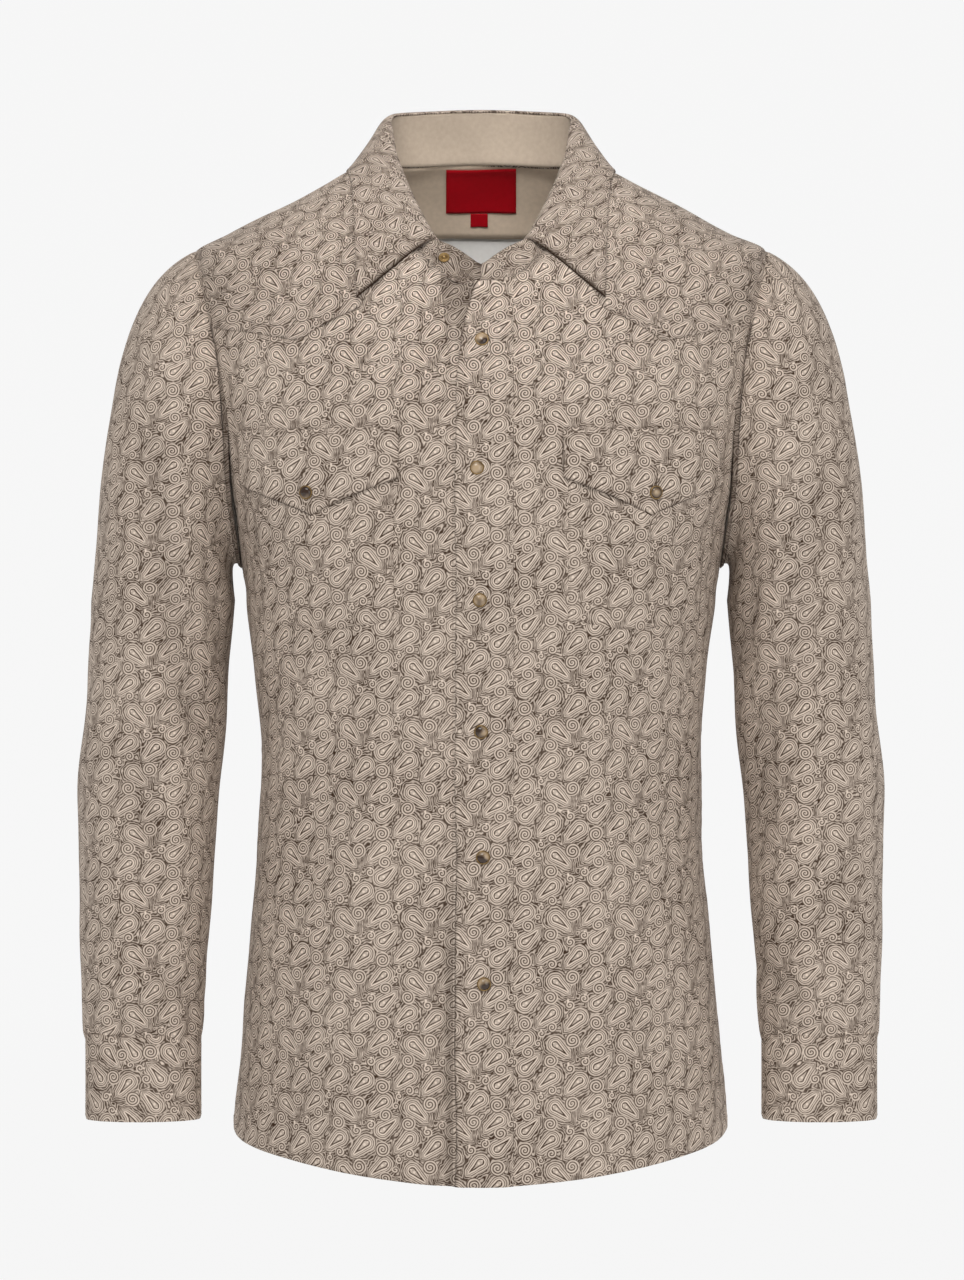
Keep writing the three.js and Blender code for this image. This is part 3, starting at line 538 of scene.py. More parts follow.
# One spiral: its pale line, and how much of the ground it takes.
spiral, given, found = new_group(
    "scroll", [("Cloth", "Vector"), ("Middle", "Vector"), ("Radius", "Float"), ("Way", "Float")],
    [("Line", "Float"), ("Share", "Float")])
here = from_motif(spiral, given.outputs["Cloth"], given.outputs["Middle"])
parts = split(spiral, here)
far = move(spiral, "LENGTH", here)
angle = calc(spiral, "ARCTAN2", parts["Y"], parts["X"])
angle = calc(spiral, "MULTIPLY", angle, given.outputs["Way"])
turn = calc(spiral, "SUBTRACT", calc(spiral, "MULTIPLY", far, math.tau / SCROLL_LINE), angle)
line = calc(spiral, "MULTIPLY_ADD", calc(spiral, "COSINE", turn), -0.48, 0.47)
past = calc(spiral, "SUBTRACT", far, given.outputs["Radius"])
join(spiral, line, found.inputs["Line"])
join(spiral, ramp(spiral, past, 0.1, 0.7, 1, 0), found.inputs["Share"])

# The whole repeat. Ink is 1 on pale lines and 0 on the dark ground.
paisley, given, found = new_group("paisley_print", [("Cloth", "Vector")], [("Ink", "Float")])
cloth_mm = move(paisley, "MULTIPLY", given.outputs["Cloth"], (1000, 1000, 0))
sway = noise(paisley, cloth_mm, 0.09, 1.0).node.outputs["Color"]
sway = move(paisley, "MULTIPLY", move(paisley, "SUBTRACT", sway, (0.5, 0.5, 0.5)), (1.6, 1.6, 0))
wavy = move(paisley, "ADD", cloth_mm, sway)
nearest, beads = None, None
for (ex, ey), (tx, ty), curl in DROPS:
    node = in_group(paisley, drop, Cloth=wavy, Round_End=(ex, ey, 0.0),
                    Turn=-math.atan2(ty - ey, tx - ex), Curl=curl)
    if nearest is None:
        nearest, beads = node.outputs["Distance"], node.outputs["Beads"]
    else:
        nearest = calc(paisley, "SMOOTH_MIN", nearest, node.outputs["Distance"], 2.5)
        beads = calc(paisley, "MAXIMUM", beads, node.outputs["Beads"])
bands = paisley.nodes.new("ShaderNodeValToRGB")
bands.color_ramp.interpolation = "EASE"
low, high = DROP_BANDS[0][0], DROP_BANDS[-1][0]
stops = bands.color_ramp.elements
for distance, shade in DROP_BANDS:
    at = (distance - low) / (high - low)
    stop = stops[0] if at == 0 else stops[-1] if at == 1 else stops.new(at)
    stop.position = at
    stop.color = (shade, shade, shade, 1)
join(paisley, ramp(paisley, nearest, low, high, course="LINEAR"), bands.inputs["Fac"])
filler = calc(paisley, "MULTIPLY_ADD", noise(paisley, cloth_mm, 0.2, 1.0), 4.0, nearest)
filler = calc(paisley, "COSINE", calc(paisley, "MULTIPLY", filler, math.tau / LINE))
filler = calc(paisley, "MULTIPLY_ADD", filler, 0.42, 0.34)
patches = calc(paisley, "SUBTRACT", noise(paisley, cloth_mm, 0.27, 1.0), 0.56)
filler = calc(paisley, "ADD", filler, patches, clamp=True)
beyond = ramp(paisley, nearest, 4.0, 4.6)
drops = calc(paisley, "MAXIMUM", bands.outputs["Color"], beads)
ink = calc(paisley, "MULTIPLY_ADD", beyond, filler,
           calc(paisley, "MULTIPLY", drops, calc(paisley, "SUBTRACT", 1.0, beyond)))
for (cx, cy), radius, way in SPIRALS:
    node = in_group(paisley, spiral, Cloth=wavy, Middle=(cx, cy, 0.0), Radius=radius, Way=way)
    share = calc(paisley, "MULTIPLY", node.outputs["Share"], ramp(paisley, nearest, 2.2, 3.0))
    keep = calc(paisley, "MULTIPLY", ink, calc(paisley, "SUBTRACT", 1.0, share))
    ink = calc(paisley, "MULTIPLY_ADD", share, node.outputs["Line"], keep)
for (cx, cy), radius in DOTS:
    far = move(paisley, "LENGTH", from_motif(paisley, wavy, (cx, cy, 0.0)))
    ink = calc(paisley, "MAXIMUM", ink, ramp(paisley, far, radius - 0.3, radius + 0.3, 1, 0))
join(paisley, ink, found.inputs["Ink"])

# Plain weave of fine yarn: how high it stands, for a bump and for the shine on its crowns.
weave, given, found = new_group("plain_weave", [("Cloth", "Vector"), ("Yarn", "Float")],
                                [("Height", "Float")])
per = calc(weave, "DIVIDE", math.pi, given.outputs["Yarn"])
yarns = move(weave, "SCALE", given.outputs["Cloth"])
join(weave, per, yarns.node.inputs["Scale"])
parts = split(weave, yarns)
over = calc(weave, "MULTIPLY", calc(weave, "SINE", parts["X"]), calc(weave, "SINE", parts["Y"]))
join(weave, calc(weave, "MULTIPLY_ADD", over, 0.5, 0.5), found.inputs["Height"])

# Wear: slow changes of shade from washing, and a fine uneven grain of the yarn.
washing, given, found = new_group("washing", [("Cloth", "Vector")],
                                  [("Shade", "Float"), ("Grain", "Float")])
slow = noise(washing, given.outputs["Cloth"], 16, 3)
fine = noise(washing, given.outputs["Cloth"], 260, 2)
join(washing, ramp(washing, slow, 0.25, 0.75), found.inputs["Shade"])
join(washing, fine, found.inputs["Grain"])


def new_material(name):
    """A new material, its nodes and its shader."""
    material = bpy.data.materials.new(name)
    material.use_nodes = True
    return material, material.node_tree, material.node_tree.nodes["Principled BSDF"]


def cloth_material(name, dark, light, roughness, sheen, printed=True, yarn=0.00036, relief=0.00003):
    """Cotton in two shades: printed where there is a print, else mottled with both.
    yarn and relief are the yarn's breadth and height in metres."""
    material, tree, shader = new_material(name)
    uv = tree.nodes.new("ShaderNodeUVMap")
    uv.uv_map = "Print"
    place = uv.outputs["UV"]
    wear = in_group(tree, washing, Cloth=place)
    if printed:
        ink = in_group(tree, paisley, Cloth=place).outputs["Ink"]
        ink = calc(tree, "MULTIPLY", ink, 0.88)
        faded = calc(tree, "MULTIPLY_ADD", wear.outputs["Shade"], 0.08, ink)
        mottled, grain = calc(tree, "SUBTRACT", faded, 0.13), 0.3
    else:
        mottled, grain = calc(tree, "MULTIPLY", wear.outputs["Shade"], 0.4), 0.6
    share = calc(tree, "MULTIPLY_ADD", wear.outputs["Grain"], grain, mottled, clamp=True)
    # Painted shade: each piece's per-point shade attribute blends the colour towards a darker brown.
    # It stands in for shadows in troughs, under edges and beside seams, and darkens parts that face
    # up into the light.
    edge = tree.nodes.new("ShaderNodeAttribute")
    edge.attribute_name = "PaintedShade"
    painted_shade_amount = calc(tree, "MULTIPLY", edge.outputs["Fac"], 1.0, clamp=True)
    colour = blend(tree, share, (*dark, 1), (*light, 1))
    colour = blend(tree, painted_shade_amount, colour, (*(0.6 * n for n in dark), 1))
    join(tree, colour, shader.inputs["Base Color"])
    height = in_group(tree, weave, Cloth=place, Yarn=yarn).outputs["Height"]
    bump = tree.nodes.new("ShaderNodeBump")
    bump.inputs["Strength"].default_value = 0.6
    bump.inputs["Distance"].default_value = relief
    tree.links.new(height, bump.inputs["Height"])
    tree.links.new(bump.outputs["Normal"], shader.inputs["Normal"])
    join(tree, calc(tree, "MULTIPLY_ADD", height, 0.1, roughness - 0.05), shader.inputs["Roughness"])
    shader.inputs["Sheen Weight"].default_value = sheen
    shader.inputs["Sheen Roughness"].default_value = 0.45
    shader.inputs["Specular IOR Level"].default_value = 0.12
    return material


PRINT = cloth_material("printed_poplin", (0.044, 0.022, 0.011), (0.790, 0.662, 0.553), 0.82, 0.03)
WRONG_SIDE = cloth_material("poplin_wrong_side", (0.680, 0.655, 0.620), (0.830, 0.810, 0.780),
                            0.86, 0.1, printed=False)

# ---------------------------------------------------------------------------
# Back panel: one piece of the print from side seam to side seam, between the armholes,
# up to the pointed yoke seam. It is felled to the fronts and hemmed with two turns.
# ---------------------------------------------------------------------------

# The armhole is an ellipse of height and angle: mm, mm and degrees.
ARMHOLE_MIDDLE, ARMHOLE_HALF, ARMHOLE_SPREAD = -178.5, 121.5, 18.0
SEAM_GAP = 0.4            # mm from the armhole to the edges that are sewn there
ARMHOLE_LOW, ARMHOLE_TOP = (ARMHOLE_MIDDLE + way * (ARMHOLE_HALF + SEAM_GAP) for way in (-1, 1))
ARMHOLE_MM, SIDE_MM = 3.4, 3.1       # mm of cloth to a degree, at the armhole and the side seam
YOKE_END = 60.0           # degrees from the top of the armhole
BACK_SEAM = [(200, -121), (150, -128), (100, -136), (50, -144), (0, -152)]
UNDER_LAP = (0, 4)        # how far a panel reaches under its yoke: degrees and mm
WORN_MIDDLE = (0, 0, -0.4)


def armhole_line(start, stop, points=40):
    """Angles and heights round an armhole, in degrees from its top towards the front."""
    turn = np.radians(np.linspace(start, stop, points))
    return np.stack([90 - (ARMHOLE_SPREAD + SEAM_GAP / ARMHOLE_MM) * np.sin(turn),
                     ARMHOLE_MIDDLE + (ARMHOLE_HALF + SEAM_GAP) * np.cos(turn)], axis=-1)


def from_armhole(angle, height):
    """How many mm from the armhole seam a place on the body is."""
    across = (90 - np.minimum(angle, 360 - angle)) / ARMHOLE_SPREAD
    along = (height - ARMHOLE_MIDDLE) / ARMHOLE_HALF
    ratio = np.sqrt(across**2 + along**2) + 1e-6
    slope = np.hypot(across / (ARMHOLE_SPREAD * ARMHOLE_MM), along / ARMHOLE_HALF) / ratio
    return (ratio - 1) / slope


def armhole_shade(angle, height):
    """How far cloth is darkened beside the armhole seam, unevenly along it."""
    uneven = 0.62 + 0.2 * np.sin(height / 7.3) + 0.18 * np.sin(height / 19 + 1)
    uneven *= np.interp(height, [-150, -80], [1, 0.25])
    return uneven * near(from_armhole(angle, height), 3.4)


def armhole_dip(angle, height):
    """The seam draws both layers in over the shoulder, where the sleeve's cap starts."""
    depth = np.interp(height, [-170, -100], [0.6, 2.1])
    return -depth * near(from_armhole(angle, height), 8.0)


def straight(start, stop):
    """Points on a straight run from one angle and height to another."""
    return np.linspace(start, stop, 40)


def other_side(line):
    """A line of the left half of the body as it lies on the right half."""
    return [(360 - angle, height) for angle, height in line]


def behind_the_neck(line):
    """A line of the left half of the back, carried on over the right half."""
    return np.vstack([line, other_side(line[-2::-1])])


def seam_dip(distance, depth=0.9, breadth=3.0):
    """A seam draws the cloth in along its line."""
    return -depth * near(distance, breadth)


def puckers(along, distance, depth=0.5, breadth=7.0):
    """Small uneven ripples that a row of stitches draws into the cloth beside it."""
    wave = (np.sin(along / 1.9) + 0.8 * np.sin(along / 3.1 + 1.3) + 0.6 * np.sin(along / 5.3 + 0.4)
            + 0.5 * np.sin(along / 1.27 + 2.1))
    return depth * wave / 2 * near(distance, breadth)


def nick(x):
    """x moved off the middle line, where an angle has no side."""
    return x + 1e-6


HEM_DEEP = 9              # mm from the edge to the hem's stitches


def hem_ripple(angle, height):
    """The narrow hem stands slightly proud and ripples along its stitches."""
    above = height - HEM - HEM_DEEP
    band = 0.5 / (1 + np.exp(np.minimum(above / 0.8, 50)))
    return band + puckers(angle * 3.2, above, 0.45, 6)


back_seam = np.array([np.stack(seen(nick(x), z, True)) for x, z in BACK_SEAM])
back_seam = behind_the_neck(np.vstack([armhole_line(-YOKE_END, -YOKE_END, 1), back_seam]))


def place_back(u, v):
    """The back panel, from the hem to under the yoke."""
    edge = np.vstack([straight((90, HEM), (90, ARMHOLE_LOW)),
                      armhole_line(-180, -YOKE_END - 2)[1:],
                      armhole_line(-YOKE_END + 2, -YOKE_END + 2, 1)])
    under_yoke = back_seam + UNDER_LAP
    under_yoke[0], under_yoke[-1] = edge[-1], other_side(edge[-1:])[0]
    at = fill_grid(u, v, straight((90, HEM), (270, HEM)), under_yoke, edge, other_side(edge))
    angle, height = at.T
    off = np.minimum(angle - 90, 270 - angle) * SIDE_MM
    out = hem_ripple(angle, height) + seam_dip(off) + puckers(height, off, 0.35, 8)
    return on_body(angle, height, out), body_print(angle, height), armhole_shade(angle, height)


back = cut_cloth("back_panel_cloth", 140, 150, place_back, WORN_MIDDLE)
finish_cloth(back, [PRINT, WRONG_SIDE], "back_panel")

# ---------------------------------------------------------------------------
# Back yoke: one piece over both shoulders, pointed at the middle of its lower seam,
# lapped over the back panel and stitched down twice.
# ---------------------------------------------------------------------------

UNDER_YOKES = (0, 0, -0.3)


def lapped(distance, over=1.15, run=9.0):
    """How far a lapped piece stands off the layer below, by the distance from its edge."""
    return 0.1 + over * near(np.maximum(distance, 0), run)


def place_back_yoke(u, v):
    """The back yoke, from its pointed seam to the shoulder seams and the neck."""
    ridge = straight((90, ARMHOLE_TOP), (90, NECK))
    arm_side = armhole_line(-YOKE_END, 0)
    neck = straight((90, NECK), (270, NECK))
    top = np.vstack([ridge, neck[1:], other_side(ridge[-2::-1])])
    at = fill_grid(u, v, back_seam, top, arm_side, other_side(arm_side))
    angle, height = at.T
    out = lapped(v * 110) + puckers(u * 470, v * 110, 0.35, 9) + armhole_dip(angle, height)
    return on_body(angle, height, out), None


back_yoke = cut_cloth("back_yoke_cloth", 120, 34, place_back_yoke, UNDER_YOKES)
finish_cloth(back_yoke, [PRINT, WRONG_SIDE], "back_yoke")

# ---------------------------------------------------------------------------
# Facing and label: plain tan cotton inside the back of the neck, with a small red
# woven label and a narrow size tab, both plain, stitched on below the collar seam.
# ---------------------------------------------------------------------------

FACING_LOW, FACING_HALF = -36.0, 112.0
LABEL_BOX = (-28.5, 28.5, -16.0, 17.5)      # left, right, bottom, top, seen from in front
TAB_BOX = (-8.5, 5.5, -26.7, -16.4)
FACING_IN, LABEL_IN = -2.6, -3.3            # mm inside the form
# Painted light: the facing is the same tan cotton as the stand's lining, in a lighter copy that
# makes up for the shade inside the neck.
TAN_FACING_PAINTED_LIGHT = cloth_material("tan_facing_painted_light", (0.500, 0.400, 0.300), (0.740, 0.600, 0.465),
                     0.84, 0.12, printed=False)
LABEL_RED = cloth_material("red_satin_label", (0.290, 0.001, 0.004), (0.460, 0.002, 0.010),
                           0.6, 0.0, printed=False, yarn=0.0006, relief=0.00005)


def place_facing(u, v):
    """The facing, from its lower edge to the neck."""
    low = behind_the_neck(np.array([
        np.stack(seen(nick(x), FACING_LOW, True)) for x in np.linspace(FACING_HALF, 0, 15)]))
    neck = straight((108, NECK + 0.6), (252, NECK + 0.6))
    edge = straight(low[0], neck[0])
    at = fill_grid(u, v, low, neck, edge, other_side(edge))
    return on_body(*at.T, FACING_IN + puckers(u * 200, v * 45, 0.2, 5)), None


facing = cut_cloth("neck_facing", 60, 16, place_facing, (0, 0, -0.2))
finish_cloth(facing, [TAN_FACING_PAINTED_LIGHT, TAN_FACING_PAINTED_LIGHT], "yoke_facing", thickness=0.7)

for name, node, (left, right, low, high), columns, rows in (
        ("neck_label", "label", LABEL_BOX, 24, 16), ("size_tab", "label_tab", TAB_BOX, 10, 8)):
    def place_label(u, v):
        x, z = left + u * (right - left), low + v * (high - low)
        loose = 0.35 * np.sin(u * 9 + v * 3) * (1 - v)
        return on_body(*seen(nick(x), z, True), LABEL_IN - loose), np.stack([x, z], -1) * MM
    label = cut_cloth(name, columns, rows, place_label, (0, 0.4, 0))
    finish_cloth(label, [LABEL_RED, LABEL_RED], node,
                 thickness=0.4)

# ---------------------------------------------------------------------------
# Fronts: one panel on each side, from its own front edge to the side seam, up to the
# front yoke. They are cut to the curve of the neck and dip to rounded tails at the hem.
# ---------------------------------------------------------------------------

SIDES = (("left", 1), ("right", -1))
FRONT_EDGE = {"left": 19.5, "right": 1.0}   # each panel's edge, outward from the middle
YOKE_AT_NECK = 38.0
FRONT_SEAM = [(80, -84), (92.3, -107.8), (114, -118), (139.3, -133), (160, -128.5), (177, -125)]
front_seam = np.vstack([[(YOKE_AT_NECK, NECK)], [np.stack(seen(x, z)) for x, z in FRONT_SEAM],
                        armhole_line(YOKE_END, YOKE_END, 1)])


def place_front(side, sign):
    """A front panel, from the hem to the neck and under its yoke."""
    def place(u, v):
        heights = np.linspace(HEM, NECK, 60)
        inner = np.stack([angle_at(np.full(60, FRONT_EDGE[side]), heights), heights], -1)
        outer = np.vstack([straight((90, HEM), (90, ARMHOLE_LOW)),
                           armhole_line(180, YOKE_END - 2)[1:]])
        under_yoke = front_seam + UNDER_LAP
        under_yoke[-1] = outer[-1]
        top = np.vstack([straight(inner[-1], (YOKE_AT_NECK, NECK)), under_yoke[1:]])
        at = fill_grid(u, v, straight(inner[0], (90, HEM)), top, inner, outer)
        angle, height = at.T
        off = (90 - angle) * SIDE_MM
        out = hem_ripple(angle, height) + seam_dip(off) + puckers(height + 40 * sign, off, 0.35, 8)
        points = on_body(sign * angle, height, out)
        shade = armhole_shade(angle, height)
        if side == "right":
            # painted shade in the trough beside the upper band's free edge, below the waist
            beside_band = near(points[:, 0] / MM + 23, 5.5)
            shade += 0.42 * beside_band * np.interp(points[:, 2], [-0.62, -0.5], [1, 0])
        return points, body_print(sign * angle, height), shade
    return place


for side, sign in SIDES:
    front = cut_cloth(f"front_{side}_cloth", 84, 168, place_front(side, sign), WORN_MIDDLE)
    finish_cloth(front, [PRINT, WRONG_SIDE], f"front_panel_{side}")

# ---------------------------------------------------------------------------
# Front yokes: a piece over each shoulder that meets the back yoke on top and ends in a
# point over the pocket, lapped over the front and stitched down twice.
# ---------------------------------------------------------------------------


def yoke_print(points, columns, rows):
    """Print coordinates across by x, and up by length from the lower seam. Higher up the
    print is spread over the slant of the shoulder."""
    grid = points.reshape(rows + 1, columns + 1, 3)
    sign = np.sign(grid[..., 0].mean())
    up = lengths(grid[..., 1:], 0)
    over = np.diff(grid[rows // 2:], axis=1)
    slant = np.zeros(columns + 1)
    slant[1:] = np.cumsum((np.hypot(over[..., 0], over[..., 2]) - np.abs(over[..., 0])).mean(axis=0))
    spread = np.linspace(0, 1.5, rows + 1).clip(0, 1)[:, None]
    across = grid[..., 0] + sign * (slant * spread - 0.009)
    return np.stack([across, up + grid[0, :, 2] + 0.014 * sign], -1).reshape(-1, 2)


def place_front_yoke(sign):
    """A front yoke, from its pointed seam to the shoulder seam."""
    def place(u, v):
        at = fill_grid(u, v, front_seam, straight((90, NECK), (90, ARMHOLE_TOP)),
                       straight((YOKE_AT_NECK, NECK), (90, NECK)), armhole_line(YOKE_END, 0))
        angle, height = at.T
        out = lapped(v * 85) + puckers(u * 150 + 30 * sign, v * 85, 0.3, 9)
        out += armhole_dip(angle, height)
        # Painted shade: the yokes face up into the light and are darkened all over, besides the
        # painted shade by the armhole seam.
        return on_body(sign * angle, height, out), None, 0.09 + armhole_shade(angle, height)
    return place


for side, sign in SIDES:
    yoke = cut_cloth(f"front_yoke_{side}_cloth", 42, 26, place_front_yoke(sign), UNDER_YOKES,
                     lay=yoke_print)
    finish_cloth(yoke, [PRINT, WRONG_SIDE], f"front_yoke_{side}")

# ---------------------------------------------------------------------------
# Front bands: the wearer's right front carries the under band, and the left one laps
# over it. Each is folded to the inside and stitched along both edges. The free edge of
# the upper band swings back at the neck, where the band is left open.
# ---------------------------------------------------------------------------

BEHIND_CHEST = (0, 0.3, -0.4)
# height seen from in front, and x of the free edge there
FREE_EDGE = np.array([(-800, -18.9), (-180, -18.9), (-115, -11.5), (-92, -5.5), (-70, -2.5)])
UNDER_BAND = {"edge": -21.0, "edge_at_neck": -31.0, "inner": 18.5, "out": 1.1, "thick": 1.0}
UPPER_BAND = {"inner": 24.5, "free_seam": 4.5, "inner_seam": 5.5, "out": 2.3, "thick": 1.4}


BAND_TOP = NECK - 0.6


def seen_height(height):
    """Where a ring's front is seen from straight in front."""
    return height + smooth_rows(BODY_RINGS, height)[:, 3]


def eased(share):
    """A share of 0 to 1 that starts and ends slowly."""
    return share * share * (3 - 2 * share)


def place_under_band(u, v):
    """The under band, whose free edge swings back at the neck."""
    height = HEM + v * (BAND_TOP - HEM)
    z = seen_height(height)
    free = np.interp(z, [-180, -90], [UNDER_BAND["edge"], UNDER_BAND["edge_at_neck"]])
    x = free + u * (UNDER_BAND["inner"] - free)
    angle = angle_at(x, height)
    out = UNDER_BAND["out"] + puckers(height + 20, x - free - 3, 0.35, 5) + hem_ripple(angle, height)
    shadowed = 0.45 * np.interp(z, [-150, -105], [0, 1])
    return on_body(angle, height, out), body_print(angle, height), shadowed


def upper_band_out(x, height, free):
    """Height of the upper band over the form: it gapes a little between the snaps."""
    from_free, from_inner = x - free, UPPER_BAND["inner"] - x
    gape = (0.5 + 1.0 * np.sin((height + 745) / 98 * np.pi) ** 2) * np.exp(-from_free / 11)
    stitched = (puckers(height, from_free - 3.5, 0.3, 4)
                + puckers(height + 33, from_inner - 6, 0.45, 6))
    rolled = -0.8 * near(from_free, 1.1)
    grooves = (seam_dip(from_free - UPPER_BAND["free_seam"], 0.3, 1.0)
               + seam_dip(from_inner - UPPER_BAND["inner_seam"], 0.3, 1.0))
    swung = 2.2 * near(seen_height(height) + 88, 26) * np.exp(-from_free / 12)
    merged = -2.0 * eased(np.clip((6 - from_inner) / 6, 0, 1))
    return UPPER_BAND["out"] + gape + stitched + rolled + grooves + swung + merged


def place_upper_band(u, v):
    """The upper band, with a painted shadow along its free edge."""
    height = HEM + v * (BAND_TOP - HEM)
    z = seen_height(height)
    free = smooth_rows(FREE_EDGE, z)[:, 0] + 0.5 * np.sin(z / 31) + 0.35 * np.sin(z / 17 + 1)
    x = free + u * (UPPER_BAND["inner"] - free)
    angle = angle_at(x, height)
    out = upper_band_out(x, height, free) + hem_ripple(angle, height)
    # Painted shadow along the free edge, strongest below the waist and near the neck.
    shown = np.interp(z, [-800, -560, -470, -130, -95], [0.85, 0.8, 0.35, 0.35, 0.8])
    edge = shown * near(x - free, 1.3) * (0.8 + 0.2 * np.sin(z / 6))
    return on_body(angle, height, out), body_print(angle, height) + (0.021, 0.013), edge


for name, node, place, columns, thick in (
        ("under_band", "placket_right", place_under_band, 14, UNDER_BAND["thick"]),
        ("upper_band", "placket_left", place_upper_band, 30, UPPER_BAND["thick"])):
    band = cut_cloth(name, columns, 250, place, BEHIND_CHEST)
    finish_cloth(band, [PRINT, PRINT], node, thickness=thick)

# ---------------------------------------------------------------------------
# Chest pockets: a patch on each front with a shallow point below, turned in and stitched
# round three sides, and a flap above it that sweeps down from both ends to a point.
# ---------------------------------------------------------------------------

POCKET = {"inner": 66.0, "outer_top": 182.0, "outer_bottom": 168.0, "top": -207.0,
          "side": -346.0, "point": -354.0, "out": 1.0, "thick": 0.9}
FLAP = {"inner": 62.5, "outer": 187.0, "top": -201.0, "inner_end": -238.0, "outer_end": -241.0,
        "point_x": 128.0, "point": -266.0, "snap_x": 131.0, "out": 2.5, "thick": 1.3}


def place_pocket(sign):
    """A pocket, fuller in its middle than at its stitched sides."""
    def place(u, v):
        outer = POCKET["outer_bottom"] + v * (POCKET["outer_top"] - POCKET["outer_bottom"])
        x = POCKET["inner"] + u * (outer - POCKET["inner"])
        middle = (POCKET["inner"] + POCKET["outer_bottom"]) / 2
        slope = np.minimum(np.abs(x - middle) / 50, 1)
        low = POCKET["point"] + slope * (POCKET["side"] - POCKET["point"])
        z = low + v * (POCKET["top"] - low)
        angle, height = seen(x, z)
        off = np.minimum(np.minimum(x - POCKET["inner"], outer - x), z - low)
        full = 1.3 * np.clip(off / 45, 0, 1) ** 0.7 * (0.75 + 0.25 * np.sin(x / 23 + sign))
        out = POCKET["out"] + full - 0.7 * near(off, 1.2) + seam_dip(off - 3, 0.35, 1.2)
        out += puckers(np.where(off == z - low, x, z) + 17 * sign, off - 3, 0.4, 7)
        shifted = body_print(sign * angle, height) + (0.019 * sign, 0.011)
        return on_body(sign * angle, height, out), shifted
    return place


def flap_at(u, v):
    """x and z of a flap's points as seen from in front, and z of its lower edge there."""
    x = FLAP["inner"] + u * (FLAP["outer"] - FLAP["inner"])
    inward = x < FLAP["point_x"]
    run = np.where(inward, (FLAP["point_x"] - x) / (FLAP["point_x"] - FLAP["inner"]),
                   (x - FLAP["point_x"]) / (FLAP["outer"] - FLAP["point_x"]))
    end = np.where(inward, FLAP["inner_end"], FLAP["outer_end"])
    low = FLAP["point"] + (end - FLAP["point"]) * run**0.85
    return x, low + v * (FLAP["top"] - low), low


def flap_out(x, z, low, sign):
    """Height of a flap over the form: flat along its top seam, lifting towards the ends."""
    down = np.clip((FLAP["top"] - z) / 60, 0, 1)
    at_snap = near(x - FLAP["snap_x"], 22)
    ends = np.minimum(x - FLAP["inner"], FLAP["outer"] - x)
    free = down * (1 - at_snap) * np.clip(ends / 14, 0, 1)
    lift = free * (2.2 + 0.6 * np.sin(x / 12 + 2 * sign))
    off = np.minimum(np.minimum(z - low, ends), FLAP["top"] - z)
    out = FLAP["out"] + lift - 0.8 * near(off, 1.2) + seam_dip(off - 4.5, 0.3, 1.1)
    return out + puckers(x + 9 * sign, FLAP["top"] - z - 5, 0.35, 6)


def place_flap(sign):
    """A flap, with a painted shadow along its lower edge."""
    def place(u, v):
        x, z, low = flap_at(u, v)
        angle, height = seen(x, z)
        printed = body_print(sign * angle, height) + (-0.017 * sign, 0.023)
        # Painted shadow: a dark line along the flap's lower edge, where it would cast its shadow.
        edge = 0.9 * near(z - low, 1.15) * (0.85 + 0.15 * np.sin(x / 7))
        return on_body(sign * angle, height, flap_out(x, z, low, sign)), printed, edge
    return place


for side, sign in SIDES:
    pocket = cut_cloth(f"pocket_{side}_cloth", 58, 72, place_pocket(sign), BEHIND_CHEST)
    finish_cloth(pocket, [PRINT, PRINT], f"pocket_{side}", thickness=POCKET["thick"])
    flap = cut_cloth(f"flap_{side}_cloth", 72, 44, place_flap(sign), BEHIND_CHEST)
    finish_cloth(flap, [PRINT, PRINT], f"flap_{side}",
                 thickness=FLAP["thick"])

# ---------------------------------------------------------------------------
# Sleeves: one piece each, joined under the arm, set into the armhole and lapped below
# the body's edge, slit at the back of the wrist and gathered slightly into the cuff.
# ---------------------------------------------------------------------------

# height, outer and inner side seen from in front, front, back
SLEEVE_RINGS = np.array([
    (-674, 305.5, 221, -61.5, 3.5),
    (-669, 306.5, 220, -62, 5),
    (-656, 308, 218, -67, 12),
    (-630, 310, 215.5, -71, 22),
    (-565, 313, 211, -70, 36),
    (-487, 314, 207, -66, 50),
    (-408, 309, 199.5, -67, 58),
    (-330, 304.6, 194, -70, 66),
])
ARM_TOP, SLEEVE_END = -330.0, -673.0
ARM_SHARE, TUCK_SHARE = 0.62, 0.985       # of the rows: the arm, then the head, then the seam
HEAD_MM = 500             # mm of cloth to a whole share, near the armhole
